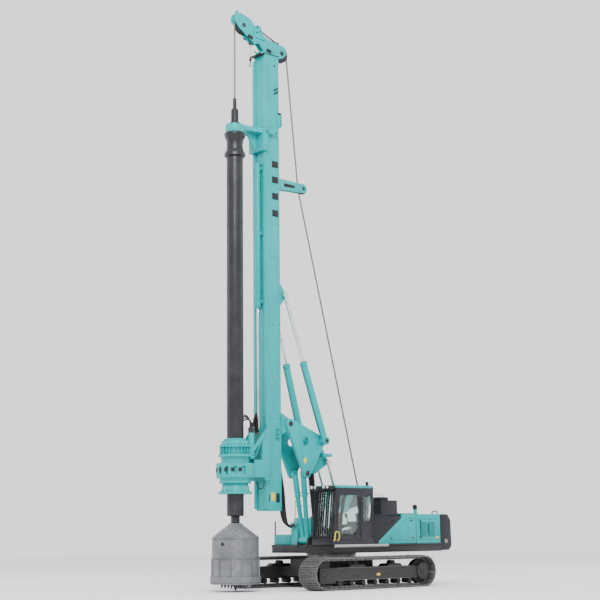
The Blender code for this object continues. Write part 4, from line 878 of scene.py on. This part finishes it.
cabPieces += [
    tube(wiper, 0.008, blackPaintAndShade, 8),
    bar((0.86, -1.300, 1.95), (0.86, -1.245, 2.55), 0.008, rubber, 8),
    tube([(1.47, -1.24, 2.75), (1.60, -1.33, 2.80), (1.66, -1.38, 2.60)], 0.011, blackPaintAndShade),
    plate(roundedRectangle(1.57, 1.73, 2.30, 2.62, 0.04), -1.41, -1.37, plastic, 0.012, "Y"),
    plate(roundedRectangle(1.585, 1.715, 2.315, 2.605, 0.03), -1.369, -1.362, mirrorGlass, 0.002, "Y"),
    tube(handRail, 0.012, blackPaintAndShade, 12),
    tube(grab, 0.016, yellowPaint, 12),
    plate([(-1.02, 1.70), (-0.80, 1.76), (-0.80, 1.42), (-1.02, 1.42)], 0.60, 0.78, plastic, 0.015),
    slab((0.615, -1.02, 1.80), (0.765, -0.985, 1.98), plastic, 0.010),
    slab((0.628, -0.984, 1.815), (0.752, -0.981, 1.965), screenGlass, 0.001),
    bar((0.69, -0.99, 1.68), (0.69, -0.99, 1.82), 0.014, plastic),
]
knob = [(0, 0), (0.022, 0), (0.026, 0.03), (0.018, 0.07), (0, 0.075)]
for x in cabLook["pedalsX"]:
    cabPieces += [slab((x - 0.045, -1.10, 1.44), (x + 0.045, -0.92, 1.462), plainSteel, 0.006),
                  bar((x, -1.06, 1.46), (x, -1.02, 1.78), 0.010, darkSteel),
                  lathe(knob, (x, -1.02, 1.77), (0, 0.1, 1), plastic, 18)]
cabPieces.append(slab((0.585, -1.16, 1.406), (1.43, 0.44, 1.416), rubber, 0.002))
merged("cabTrim", cabPieces, "upper")

doorSeal = [(-1.07, 1.66), (-0.34, 1.66), (-0.16, 1.95), (-0.16, 2.91), (-1.07, 2.91)]
doorPieces = [sealRound(doorSeal, 1.482, "X", 0.010),
              plate(roundedRectangle(-0.30, -0.16, 1.555, 1.615, 0.02), 1.474, 1.492, blackPaintAndShade, 0.005),
              bar((1.502, -0.29, 1.585), (1.502, -0.18, 1.585), 0.009, plainSteel)]
doorPieces += [bar((1.48, y, 1.585), (1.503, y, 1.585), 0.008, plainSteel) for y in (-0.29, -0.18)]
merged("doorTrim", doorPieces, "cab_door")
print("cab done")


# House: raised bands, latches, hinges, deck edges (the one under the cab light grey as a painted highlight), vents,
# rails and plates.
houseLook = {"wall": 1.481, "vents": (2.79, 3.17), "ventSlats": 12, "hoodSlats": 14, "treads": 20}
band = [(0.78, 1.42), (1.95, 2.26), (2.42, 2.26), (2.42, 2.17), (2.00, 2.17), (0.90, 1.42)]
panel = roundedOutline([(1.10, 1.45), (2.36, 1.45), (2.36, 2.10), (2.02, 2.10)], 0.04)
# Deck edges as x, z, start, end, radius, paint and sides; the first, under the cab, carries the painted highlight
# of the sill's rounded edge.
deckEdges = ((1.495, 1.315, -1.24, 1.10, 0.050, sillHighlightPaint, 20), (1.50, 1.33, 1.12, 3.60, 0.026, chassis, 16))
housePieces = []
for side in bothSides:
    wall = side * houseLook["wall"]
    housePieces += [plate(band, wall - side * 0.01, wall + side * 0.014, tealSoft, 0.005),
                    plate(panel, wall - side * 0.01, wall + side * 0.008, teal, 0.004)]
    for y in (1.28, 2.30):
        housePieces += [
            slab((wall + side * 0.006, y - 0.035, 1.50), (wall + side * 0.024, y + 0.035, 1.57), blackPaintAndShade, 0.006),
            bar((wall + side * 0.020, y, 1.535), (wall + side * 0.030, y, 1.535), 0.020, zincSteel, 18)]
    for y in (1.42, 2.22):
        housePieces.append(slab((wall - side * 0.002, y - 0.05, 2.085), (wall + side * 0.022, y + 0.05, 2.112),
                                darkSteel, 0.005))
    for x, z, start, end, radius, paint, sides in deckEdges:
        housePieces.append(tube([(side * x, start, z), (side * x, end, z)], radius, paint, sides, straight=True))
for side, start in ((1, 0.52), (-1, 0.68)):
    apron = roundedOutline([(start, 1.375), (0.90, 1.375), (1.86, 2.235), (start, 2.235)], 0.03)
    housePieces.append(plate(apron, side * 1.435, side * 1.468, chassis, 0.008))
crease = [(0.56, 1.58), (1.36, 2.18), (1.40, 2.18), (0.60, 1.56)]
housePieces += [plate(crease, 1.464, 1.474, cabGrey, 0.003),
                bar((-1.42, -1.17, 1.355), (-1.42, -1.17, 2.12), 0.022, blackPaintAndShade)]
merged("houseTrim", housePieces, "upper")

for side, body, name in ((1, "engine_door_left", "doorVentsLeft"), (-1, "engine_door_right", "doorVentsIght")):
    low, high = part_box(body)
    outer = high.x if side > 0 else low.x
    vents = []
    for centre in houseLook["vents"]:
        back = roundedRectangle(centre - 0.155, centre + 0.155, 1.60, 2.03, 0.02)
        slat = rectangle(centre - 0.145, centre + 0.145, 1.612, 1.632)
        vents += [plate(back, outer - side * 0.004, outer + side * 0.005, darkSteel, 0.002),
                  inRow(plate(slat, outer + side * 0.002, outer + side * 0.018, teal, 0.004),
                        houseLook["ventSlats"], (0, 0, 0.0345))]
    inner = outer - side * 0.001
    vents.append(slab((inner, 3.345, 1.515), (outer + side * 0.005, 3.475, 1.575), yellow, 0.002))
    vents += [slab((inner, 2.60, z - 0.03), (outer + side * 0.020, 2.66, z + 0.03), blackPaintAndShade, 0.006)
              for z in (1.56, 2.08)]
    merged(name, vents, body)

low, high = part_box("engine_hood")
y, z = low.y + 0.03, high.z
slat = slab((-0.70, low.y + 0.12, z - 0.002), (0.70, low.y + 0.145, z + 0.014), teal, 0.004)
hoodPieces = [inRow(slat, houseLook["hoodSlats"], (0, 0.05, 0))]
hoodPieces += [tube([(x, y, z), (x, y, z + 0.05), (x + 0.14, y, z + 0.05), (x + 0.14, y, z)], 0.009, blackPaintAndShade)
               for x in (-0.5, 0.36)]
merged("hoodTrim", hoodPieces, "engine_hood")

rearPieces = [tube([(x, 3.76, 2.30), (x, 3.76, 2.40), (x, 3.98, 2.40), (x, 3.98, 2.30)], 0.022, plainSteel, 12)
              for x in (-1.0, 1.0)]
cover = [(0, 0), (0.07, 0), (0.07, 0.012), (0.06, 0.016), (0, 0.016)]
rearPieces.append(lathe(cover, (1.499, 3.86, 1.42), (1, 0, 0), greyPlastic, 28))
rearPieces += [boltRing(4, 0.16, (x, 4.149, 1.72), (0, 1, 0), 0.030, 0.024, darkSteel, 0.78) for x in (-0.9, 0.9)]
rearLamp = [(0, 0), (0.045, 0), (0.045, 0.02), (0.03, 0.026), (0, 0.028)]
rearPieces += [lathe(rearLamp, (x, 4.148, 2.18), (0, 1, 0), redLens, 24) for x in (-1.36, 1.36)]
exhaustCap = [(0, 0), (0.074, 0), (0.078, 0.02), (0.078, 0.10), (0.060, 0.13), (0, 0.14)]
tankCap = [(0, 0), (0.075, 0), (0.075, 0.04), (0.06, 0.055), (0, 0.055)]
rail = [(-1.38, -0.28, 1.68), (-1.38, -0.34, 2.40), (-1.38, -0.20, 3.02), (-1.38, 0.40, 3.02),
        (-1.38, 0.52, 2.90), (-1.38, 0.54, 2.22)]
tread = slab((-1.44, -1.14, 1.678), (-0.63, -1.12, 1.687), zincSteel, 0.002)
caseHandle = [(0.84, 1.26, 2.85), (0.84, 1.26, 2.93), (1.14, 1.26, 2.93), (1.14, 1.26, 2.85)]
rearPieces += [
    lathe(exhaustCap, (1.15, 2.77, 2.49), (0, -0.25, 1), blackPaintAndShade, 28),
    boltRing(6, 0.09, (1.15, 2.77, 2.315), upwards, 0.010, 0.008),
    lathe(tankCap, (-1.0, 0.10, 2.218), upwards, blackPaintAndShade, 24),
    tube(rail, 0.017, yellowPaint, 12),
    tube([(-1.38, -0.32, 2.62), (-1.38, 0.54, 2.62)], 0.014, yellowPaint, 12, straight=True),
    inRow(tread, houseLook["treads"], (0, 0.042, 0)),
    slab((0.78, 1.06, 2.748), (1.20, 1.46, 2.86), blackPaintAndShade, 0.02),
    tube(caseHandle, 0.012, zincSteel),
]
merged("rearTrim", rearPieces, "upper")
print("house done")


# Undercarriage: hub bolts, slots drawn as black plates of painted shade, edge strips and plates.
underLook = {"outer": 1.9825, "wheelY": 2.145, "wheelZ": 0.495, "strips": (0.655, 0.285), "ringBolts": 40}
hub = [(0, 0), (0.15, 0), (0.15, 0.015), (0.13, 0.03), (0.06, 0.035), (0.06, 0.05), (0, 0.055)]
underPieces = []
for side in bothSides:
    outer = side * underLook["outer"]
    inner, wheelZ = outer - side * 0.003, underLook["wheelZ"]
    for y, proud, radius in ((-underLook["wheelY"], 0.002, 0.10), (underLook["wheelY"], 0.070, 0.235)):
        face = outer + side * proud
        underPieces.append(boltRing(14, radius, (face, y, wheelZ), (side, 0, 0), 0.014, 0.014, darkSteel))
    underPieces.append(lathe(hub, (face - side * 0.005, y, wheelZ), (side, 0, 0), chassis, 36))
    # Black plates where the frame has slots: painted shade, no opening is cut.
    for y in (-0.75, 0.55):
        underPieces.append(plate(roundedRectangle(y - 0.16, y + 0.16, 0.40, 0.47, 0.035), inner,
                                 outer + side * 0.004, blackPaintAndShade, 0.001))
    for z in underLook["strips"]:
        underPieces.append(plate(rectangle(-1.60, 1.62, z, z + 0.02), inner, outer + side * 0.008, edgeWear, 0.003))
    underPieces.append(plate(rectangle(0.10, 0.24, 0.40, 0.47), outer - side * 0.001, outer + side * 0.004,
                             yellow, 0.001))
underPieces.append(boltRing(underLook["ringBolts"], 0.745, (0, 0, 0.902), upwards, 0.014))
merged("underTrim", underPieces, "undercarriage")


# Linkage: pin caps, rims, and for each cylinder a gland, its bolts and an oil pipe.
def pinCap(spot, outwards, radius):
    profile = [(0, 0), (radius, 0), (radius, 0.010), (radius * 0.88, 0.018), (radius * 0.45, 0.018),
               (radius * 0.40, 0.012), (0, 0.012)]
    x, y, z = spot
    return [lathe(profile, spot, (outwards, 0, 0), darkSteel, 28),
            boltRing(3, radius * 0.66, (x + outwards * 0.014, y, z), (outwards, 0, 0), 0.010, 0.008)]


trianglePieces = []
for side in bothSides:
    for y, z in ((-2.05, 5.15), (-1.36, 3.60)):
        trianglePieces += pinCap((side * 0.409, y, z), side, 0.085)
    diamond = [(-1.48, 3.89), (-1.38, 4.01), (-1.43, 4.12), (-1.52, 4.02)]
    trianglePieces += [plate(diamond, side * 0.408, side * 0.413, yellow, 0.001),
                       lathe(hollow(0.132, 0.150, 0.010), (side * 0.4085, -1.42, 4.62), (side, 0, 0), teal, 40)]
merged("triangleTrim", trianglePieces, "triangle")
sleeveRing = [(0.074, 0), (0.104, 0.005), (0.104, 0.05), (0.094, 0.06), (0.094, 0.07), (0.074, 0.07)]
boomPieces = []
for side in bothSides:
    foot, head = Vector((side * 0.10, -1.12, 1.50)), Vector((side * 0.205, -1.36, 3.60))
    joint = foot.lerp(head, 0.665) - (head - foot).normalized() * 0.03
    boomPieces.append(lathe(sleeveRing, joint, head - foot, teal))
merged("boomTrim", boomPieces, "boom")

luffGland = [(0.053, 0), (0.100, 0), (0.106, 0.006), (0.106, 0.085), (0.098, 0.095), (0.053, 0.095)]
tiltGland = [(0.063, 0), (0.118, 0), (0.124, 0.006), (0.124, 0.10), (0.114, 0.11), (0.063, 0.11)]
for side, name in ((1, "Left"), (-1, "Right")):
    foot = Vector((side * 0.27, 0.45, 1.60))
    way = (Vector((side * 0.27, -0.37, 4.00)) - foot).normalized()
    pipe = [foot + way * along + Vector((0, off, 0))
            for along, off in ((0.25, 0.12), (0.5, 0.125), (1.40, 0.125), (1.5, 0.10))]
    merged("luffTrim" + name, [
        lathe(luffGland, foot + way * 1.47, way, chassis, 36),
        inRing(bolt(0.009, 0.009), 8, 0.083, foot + way * 1.565, way),
        tube(pipe, 0.012, darkSteel)], "luff_barrels")
    foot = Vector((side * 0.54, -0.72, 4.65))
    way = (Vector((side * 0.32, -2.18, 9.30)) - foot).normalized()
    aside = way.cross(Vector((1, 0, 0))).normalized() * -0.13
    pipe = [foot + way * along + aside * off for along, off in ((0.3, 1), (0.6, 1.08), (2.4, 1.08), (2.58, 0.9))]
    merged("tiltTrim" + name, [
        lathe(tiltGland, foot + way * 2.53, way, teal, 36),
        inRing(bolt(0.010, 0.010), 10, 0.095, foot + way * 2.64, way),
        tube(pipe, 0.013, darkSteel), *pinCap((side * 0.641, -0.72, 4.65), side, 0.07)], "mast_barrels")
print("linkage done")


# Mast sides: plates as outline, sink, rise, paint and softness; then bolts, pipes and head gear.
mastLook = {
    "half": 0.25, "welds": (2.50, 5.30, 8.30, 11.60, 14.85), "marks": (13.60, 13.08, 12.53, 11.96),
    "hatches": (10.6, 7.2, 15.9), "pipes": ((-0.10, 0.016), (-0.055, 0.016), (0.06, 0.012)),
    "pipeRuns": ((9.75, 12.55), (13.55, 16.90)), "clips": (9.9, 10.9, 11.9, 14.0, 15.0, 16.0, 16.8),
    "frontSheave": (-3.68, 18.15), "rearSheave": (-2.05, 17.55),
}
sidePlates = [(rectangle(-2.915, -2.335, z - 0.022, z + 0.022), 0.004, teal, 0.004) for z in mastLook["welds"]]
sidePlates += [(rectangle(-2.63, -2.37, z - 0.11, z + 0.11), 0.0045, blackPaintAndShade, 0.001) for z in mastLook["marks"]]
sidePlates += [([(-2.53, z), (-2.34, z + 0.11), (-2.34, z + 0.16), (-2.53, z + 0.05)], 0.030, darkSteel, 0.004)
               for z in (15.98, 16.10)]
sidePlates += [
    (rectangle(-2.74, -2.59, 2.72, 2.98), 0.004, yellow, 0.001),
    (rectangle(-2.54, -2.42, 2.68, 2.96), 0.030, blackPaintAndShade, 0.008),
    (roundedRectangle(-2.83, -2.80, 2.70, 2.92, 0.02), 0.003, blackPaintAndShade, 0.001),
    (rectangle(-2.655, -2.635, 2.45, 17.22), 0.004, tealSoft, 0.002),
    (rectangle(-2.36, -2.325, 2.45, 17.22), 0.004, tealSoft, 0.002)]
sidePlates += [(rectangle(y - 0.02, y + 0.02, 4.62, 5.00), 0.045, teal, 0.008) for y in (-2.52, -2.44)]
sidePlates += [(roundedRectangle(-2.78, -2.48, z - 0.16, z + 0.16, 0.03), 0.006, teal, 0.004)
               for z in mastLook["hatches"]]
sideBolts = [(0.014, 0.012, darkSteel, 0.045, y, z) for y in (-2.52, -2.44) for z in (4.68, 4.81, 4.94)]
sideBolts += [(0.018, 0.014, darkSteel, 0.018, -2.26, z) for z in (15.00, 15.12, 15.24)]
sideBolts += [(0.020, 0.018, zincSteel, 0.001, y, 6.62) for y in (-2.70, -2.60, -2.50)]
sideBolts += [(0.011, 0.005, zincSteel, 0.006, y, z + up)
              for z in mastLook["hatches"] for y in (-2.75, -2.51) for up in (-0.13, 0.13)]
mastPieces = []
for side in bothSides:
    face = side * mastLook["half"]
    mastPieces += [plate(outline, face - side * 0.002, face + side * rise, paint, soft)
                   for outline, rise, paint, soft in sidePlates]
    mastPieces += [bolt(size, height, paint, (side, 0, 0), (face + side * rise, y, z))
                   for size, height, paint, rise, y, z in sideBolts]
    mastPieces += [
        lathe(disc(0.034, 0.004), (face - side * 0.001, -2.50, 16.97), (side, 0, 0), blackPaintAndShade, 24),
        slab((side * 0.13, -2.40, 14.92), (side * 0.268, -2.19, 15.32), teal, 0.012),
        slab((side * 0.14, -2.37, 15.32), (side * 0.258, -2.21, 15.40), darkSteel)]
for x, radius in mastLook["pipes"]:
    mastPieces += [tube([(x, -2.298, low), (x, -2.298, high)], radius, darkSteel, straight=True)
                   for low, high in mastLook["pipeRuns"]]
    mastPieces += [slab((x - radius - 0.008, -2.322, z - 0.02), (x + radius + 0.008, -2.278, z + 0.02),
                        blackPaintAndShade, 0.004) for z in mastLook["clips"]]
mastPieces.append(slab((-0.27, -3.13, 17.262), (0.27, -2.925, 17.288), darkSteel, 0.005))
topEdge = plate(rectangle(-0.262, 0.262, -2.945, -2.305), 17.315, 17.345, darkSteel, 0.006, "Z")
mastPieces.append(carved(topEdge, [slab((-0.14, -3.1, 17.2), (0.14, -2.1, 17.5), teal, 0)]))
knuckle = [(-3.26, 17.86), (-3.22, 18.20), (-3.12, 18.30), (-2.98, 18.26), (-2.90, 18.05), (-2.76, 17.80)]
for side in bothSides:
    for y, z in (mastLook["frontSheave"], mastLook["rearSheave"]):
        mastPieces += pinCap((side * 0.114, y, z), side, 0.075)
    for y, z in ((-3.25, 17.85), (-2.95, 17.95), (-2.62, 17.80), (-2.40, 17.52)):
        mastPieces.append(bolt(0.022, 0.018, direction=(side, 0, 0), at=(side * 0.116, y, z)))
    # Black plates where the head's side plates have openings: painted shade, nothing is cut.
    for y, z in ((-3.42, 17.80), (-2.62, 17.50)):
        opening = [(y - 0.12, z - 0.04), (y + 0.12, z - 0.08), (y + 0.10, z + 0.06), (y - 0.08, z + 0.08)]
        mastPieces.append(plate(roundedOutline(opening, 0.03), side * 0.113, side * 0.119, blackPaintAndShade, 0.001))
    mastPieces.append(plate(knuckle, side * 0.116, side * 0.140, teal))
    for y, z in ((-3.13, 18.20), (-3.00, 18.08), (-3.14, 18.02)):
        mastPieces.append(bolt(0.026, 0.022, darkSteel, (side, 0, 0), (side * 0.140, y, z)))
    for y, z in ((-2.44, 17.86), (-2.20, 17.84)):
        mastPieces.append(bar((side * 0.090, y, z - 0.06), (side * 0.090, y, z + 0.07), 0.024, darkSteel))
horn = [(-3.94, 18.30), (-3.86, 18.30), (-3.83, 18.62), (-3.90, 18.64), (-3.96, 18.55)]
hook = [(0.16, -3.45, 16.96), (0.16, -3.45, 16.88), (0.16, -3.49, 16.82), (0.16, -3.46, 16.76),
        (0.16, -3.41, 16.79)]
weight = [(0, 0), (0.03, 0), (0.045, 0.03), (0.045, 0.09), (0.02, 0.12), (0, 0.12)]
mastPieces += [
    plate(horn, -0.025, 0.025, teal),
    tube([(0.16, -3.45, 17.55), (0.16, -3.45, 16.95)], 0.010, ropeSteel, straight=True),
    tube(hook, 0.014, darkSteel, 12),
    lathe(weight, (0.16, -3.45, 16.94), upwards, darkSteel, 20),
    bar((0.10, -3.45, 17.56), (0.19, -3.45, 17.56), 0.05, darkSteel, 24),
]
merged("mastTrim", mastPieces, "mast")

pulleyPieces = []
# The arm's window is a black plate on each face: painted shade, not a cut hole.
armWindow = roundedOutline([(-1.98, 12.98), (-1.50, 13.00), (-1.50, 13.09), (-1.98, 13.10)], 0.03)
for side in bothSides:
    pulleyPieces += pinCap((side * 0.089, -1.12, 13.05), side, 0.060)
    pulleyPieces += [plate(armWindow, side * 0.088, side * 0.0925, blackPaintAndShade, 0.001),
                     lathe(hollow(0.118, 0.146, 0.006), (side * 0.088, -1.12, 13.05), (side, 0, 0), tealSoft, 36)]
merged("pulleyArmTrim", pulleyPieces, "mast")


def sheaveTrim(name, body, centre, radius=0.30, half=0.045):
    profile = [(0, 0), (radius * 0.30, 0), (radius * 0.30, 0.006), (radius * 0.22, 0.010), (0, 0.010)]
    pieces = []
    for side in bothSides:
        pieces += [lathe(profile, (side * (half - 0.006), *centre), (side, 0, 0), plainSteel, 28),
                   boltRing(6, radius * 0.52, (side * (half - 0.016), *centre), (side, 0, 0), 0.008, 0.007)]
    merged(name, pieces, body)


sheaveTrim("frontSheaveTrim", "front_sheave", mastLook["frontSheave"])
sheaveTrim("rearSheaveTrim", "rear_sheave", mastLook["rearSheave"])
print("mast done")


# Power head: bolt rings as count, radius, height, size and turn; ribs, windows drawn as black plates of painted
# shade, motors and hoses.
headLook = {
    "bolts": ((28, 0.466, 4.42, 0.021, 0.018, 0.0), (28, 0.486, 4.14, 0.021, 0.018, 0.0),
              (24, 0.555, 3.86, 0.014, 0.014, 0.1)),
    "ribs": 24, "windows": 7, "windowRadius": 0.592, "hoses": 4, "hoseRadius": 0.021,
}
headPieces = [boltRing(count, radius, onTool(z), upwards, size, height, darkSteel, first)
              for count, radius, z, size, height, first in headLook["bolts"]]
rib = slab((-0.035, -0.010, 4.142), (0.035, 0.010, 4.358), teal, 0.003)
headPieces.append(inRing(rib, headLook["ribs"], 0.445, onTool(0)))
# Windows in the skirt drawn as black plates: painted shade, not openings.
for step in range(headLook["windows"]):
    angle = math.radians(-156 + step * 22)
    x, y = (headLook["windowRadius"] * wave(angle) for wave in (math.cos, math.sin))
    window = slab((-0.004, -0.055, 3.60), (0.006, 0.055, 3.72), blackPaintAndShade, 0.003)
    headPieces.append(moved(window, Matrix.Translation((x, toolY + y, 0)) @ Matrix.Rotation(angle, 4, "Z")))
motor = [(0, 0), (0.085, 0), (0.085, 0.12), (0.105, 0.125), (0.105, 0.15), (0.07, 0.155), (0.07, 0.20), (0, 0.205)]
brace = [(-3.03, 4.94), (-3.03, 4.80), (-3.62, 4.15), (-3.74, 4.15), (-3.74, 4.22)]
braceFoot = roundedRectangle(-3.78, -3.56, 4.138, 4.168, 0.01)
for side in bothSides:
    headPieces += [lathe(motor, (side * 0.33, -3.62, 4.79), upwards, darkSteel),
                   boltRing(6, 0.092, (side * 0.33, -3.62, 4.94), upwards, 0.010, 0.010)]
    headPieces += [bolt(0.018, 0.016, direction=(side, 0, 0), at=(side * 0.372, -3.03, z)) for z in (3.5, 4.0, 4.5)]
    headPieces += [plate(brace, side * 0.372, side * 0.402, teal),
                   plate(braceFoot, side * 0.36, side * 0.45, teal, 0.004)]
for index in range(headLook["hoses"]):
    lift, x = 0.05 * index, 0.05 + 0.045 * index
    loop = [(0.33, -3.60 + 0.02 * index, 4.98), (0.33 + 0.02 * index, -3.52, 5.16 + lift),
            (x + 0.10, -3.36, 5.26 + lift), (x, -3.26, 5.10 + lift), (x, -3.20, 4.80)]
    for side in bothSides:
        headPieces.append(tube([(side * a, b, c) for a, b, c in loop], headLook["hoseRadius"], hose, 12))
    headPieces.append(bar((x, -3.20, 4.78), (x, -3.20, 4.84), 0.027, zincSteel, 6))
drain = [(0.34, -3.44, 3.30), (0.38, -3.34, 3.10), (0.36, -3.16, 3.14), (0.30, -3.06, 3.40)]
headPieces.append(tube(drain, 0.013, hose, 12))
merged("powerHeadTrim", headPieces, "power_head")

rib = plate([(0.0, 3.002), (0.13, 3.002), (0.02, 3.20), (0.0, 3.20)], -0.009, 0.009, teal, 0.003, "Y")
merged("sleeveTrim", [boltRing(20, 0.465, onTool(3.00), upwards, 0.017, 0.018, darkSteel),
                      inRing(rib, 18, 0.335, onTool(0), first=0.09)], "drive_sleeve")
sideArm = roundedRectangle(-3.02, -2.50, 14.56, 14.69, 0.06)
guidePieces = []
for side in bothSides:
    guidePieces.append(plate(sideArm, side * 0.371, side * 0.399, teal))
    guidePieces += [bolt(0.026, 0.020, darkSteel, (side, 0, 0), (side * 0.399, y, 14.625)) for y in (-2.57, -2.93)]
    guidePieces.append(slab((side * 0.30, -3.02, 14.02), (side * 0.195, -2.99, 14.66), plastic, 0.006))
guidePieces.append(boltRing(10, 0.25, onTool(14.70), upwards, 0.016, 0.016, darkSteel))
merged("guideTrim", guidePieces, "kelly_guide")
print("power head done")


# Bucket: lugs, vent holes as black discs of painted shade, straps, bands, and ports as black caps of painted shade.
bucketLook = {"lugX": 0.125, "holes": 6, "straps": 12, "bands": (0.98, 1.57), "ports": (-1.25, 1.9)}
lug = roundedRectangle(toolY - 0.10, toolY + 0.10, 1.60, 1.93, 0.04)
bucketPieces = []
for side in (-1, 1):
    bucketPieces += [plate(lug, side * bucketLook["lugX"], side * 0.155, bucketSteel),
                     bar((side * 0.12, toolY, 1.80), (side * 0.185, toolY, 1.80), 0.045, darkSteel, 24)]
# Vent holes drawn as black discs on the lid: painted shade, no hole is cut.
for index in range(bucketLook["holes"]):
    angle = math.tau * index / bucketLook["holes"] + 0.4
    x, y = math.cos(angle), math.sin(angle)
    bucketPieces.append(lathe(disc(0.032, 0.010), (0.44 * x, toolY + 0.44 * y, 1.827), (0.45 * x, 0.45 * y, 1),
                              blackPaintAndShade, 24))
strap = slab((-0.004, -0.030, 0.47), (0.014, 0.030, 0.95), bucketSteel, 0.004)
bucketPieces.append(inRing(strap, bucketLook["straps"], 0.716, onTool(0), first=0.13))
ring = [(0.712, 0), (0.728, 0.004), (0.728, 0.03), (0.712, 0.034)]
bucketPieces += [lathe(ring, onTool(z), upwards, bucketSteel, 72) for z in bucketLook["bands"]]
bucketPieces.append(boltRing(16, 0.752, onTool(0.45), upwards, 0.012, 0.012, darkSteel))
# Round holes in the barrel drawn as shallow black caps: painted shade.
port = [(0, 0), (0.055, 0), (0.055, 0.008), (0.040, 0.008), (0.038, 0.002), (0, 0.002)]
for angle in bucketLook["ports"]:
    x, y = math.cos(angle), math.sin(angle)
    bucketPieces.append(lathe(port, (0.714 * x, toolY + 0.714 * y, 1.42), (x, y, 0), blackPaintAndShade, 28))
merged("bucketTrim", bucketPieces, "kelly")
print("bucket done")


# Ropes: from the swivel over both sheaves, down to the guide pulley and on to the drum.
ropeLook = {"radius": 0.026, "lobes": 6, "overFront": 0.30, "overRear": 0.28}


def rope(points, sides=12):
    return tube(points, ropeLook["radius"], ropeSteel, sides, straight=True, lobes=ropeLook["lobes"])


def roundSheave(centre, radius, start, sweep, steps=24):
    y, z = centre
    angles = [math.radians(start + sweep * step / steps) for step in range(steps + 1)]
    return [(0, y + radius * math.cos(a), z + radius * math.sin(a)) for a in angles]


frontRope = rope([onTool(15.55 + step * 0.02) for step in range(131)], 18)
frontRope.name = "hoistRopeFront"
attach(frontRope, "mast")
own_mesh(frontRope)
over = roundSheave(mastLook["frontSheave"], ropeLook["overFront"], 180, -112)
over += roundSheave(mastLook["rearSheave"], ropeLook["overRear"], 68, -68)
down = [(0, -1.77 + 0.47 * step / 60, 17.55 - 4.45 * step / 60) for step in range(1, 61)]
merged("hoistRopeTop", [rope(over + down)], "mast")
lowRope = rope([(0, -1.30 + 2.82 * step / 220, 13.05 - 10.92 * step / 220) for step in range(221)])
lowRope.name = "hoistRopeLow"
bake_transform(lowRope)
wound = [(0.268 + 0.018 * abs(math.sin(math.pi * step / 6)), 0.001 + 0.78 * step / 180) for step in range(181)]
turns = lathe([(0.262, 0), *wound, (0.262, 0.782)], (-0.391, 1.78, 1.98), (1, 0, 0), ropeSteel, 48, 80)
merged("ropeTurns", [turns], "winch_drum")

# Hoses from the mast's back to a bulkhead on the deck.
hoseLook = {"count": 4, "radius": 0.034, "mastX": (-0.12, 0.080), "deckX": (-0.50, 0.068), "deck": (-1.27, 1.98)}
deckY, deckZ = hoseLook["deck"]
gusset = [(-1.20, 1.37), (-0.98, 1.37), (-1.20, 1.95)]
bulkhead = [slab((-0.56, -1.245, 1.36), (-0.24, -1.19, 2.08), teal, 0.012),
            plate(gusset, -0.555, -0.535, teal, 0.004), plate(gusset, -0.265, -0.245, teal, 0.004)]
hosePieces = []
for index in range(hoseLook["count"]):
    x, deckX = (start + step * index for start, step in (hoseLook["mastX"], hoseLook["deckX"]))
    drop, high = 0.05 * index, 4.10 - 0.08 * index
    path = [(x, -2.278, high), (x, -2.24, 3.65), (x, -2.13, 3.05), (0.8 * x + 0.2 * deckX, -2.0, 2.55 - drop),
            (0.5 * x + 0.5 * deckX, -1.80, 2.16 - drop), (0.2 * x + 0.8 * deckX, -1.55, 2.00 - drop / 2),
            (deckX, -1.38, deckZ), (deckX, deckY, deckZ)]
    hosePieces += [tube(path, hoseLook["radius"], hose, 16),
                   bar((deckX, -1.32, deckZ), (deckX, -1.255, deckZ), 0.042, zincSteel, 6),
                   bar((x, -2.286, high - 0.04), (x, -2.283, high + 0.06), 0.036, zincSteel, 6)]
    bulkhead.append(bar((deckX, -1.19, deckZ), (deckX, -1.15, deckZ), 0.034, zincSteel, 6))
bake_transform(merged("mastHoses", hosePieces))
merged("deckBulkhead", bulkhead, "upper")
print("ropes and hoses done")


# Floor, lights as place, aim, size, power and tint, sky and camera.
studioLook = {
    "lights": {"keyLight": ((18, -18, 26), (0, -1, 6), 12, 8000, (1, 1, 1)),
               "fillLight": ((-20, -16, 14), (0, -1, 6), 16, 1400, (0.92, 0.96, 1.0)),
               "rimLight": ((6, 24, 18), (0, 0, 7), 12, 1800, (1, 1, 1))},
    "sky": (0.98, 0.99, 1.0, 1), "skyPower": 1.55, "eye": (32.316, -29.868, 1.748),
    "heading": math.atan2(29.868, -32.316) + 0.0212, "pitch": 0.1727, "roll": -0.0101, "lens": 79.96,
}
floor = slab((-60, -60, -0.05), (60, 60, 0), floorPaint("paleFloor"), 0)
floor.name = "paleFloor"

for name, (spot, aim, size, power, tint) in studioLook["lights"].items():
    light = bpy.data.lights.new(name, "AREA")
    light.shape, light.size, light.energy, light.color = "DISK", size, power, tint
    lamp = placed(name, light)
    lamp.location = spot
    lamp.rotation_euler = (Vector(aim) - Vector(spot)).to_track_quat("-Z", "Y").to_euler()
world = bpy.data.worlds.new("studioSky")
world.use_nodes = True
give(world.node_tree.nodes["Background"], Color=studioLook["sky"], Strength=studioLook["skyPower"])
bpy.context.scene.world = world

heading, pitch, roll = (studioLook[name] for name in ("heading", "pitch", "roll"))
forward = Vector((math.cos(pitch) * math.cos(heading), math.cos(pitch) * math.sin(heading), math.sin(pitch)))
right = forward.cross(Vector(upwards)).normalized()
up = right.cross(forward)
turned = (right * math.cos(roll) + up * math.sin(roll), up * math.cos(roll) - right * math.sin(roll), -forward)
camera = bpy.data.cameras.new("studioCamera")
camera.sensor_width, camera.lens, camera.clip_end = 36, studioLook["lens"], 500
view = placed("studioCamera", camera)
view.matrix_world = Matrix.Translation(studioLook["eye"]) @ Matrix(turned).transposed().to_4x4()
bpy.context.scene.camera = view

print("everything in place")
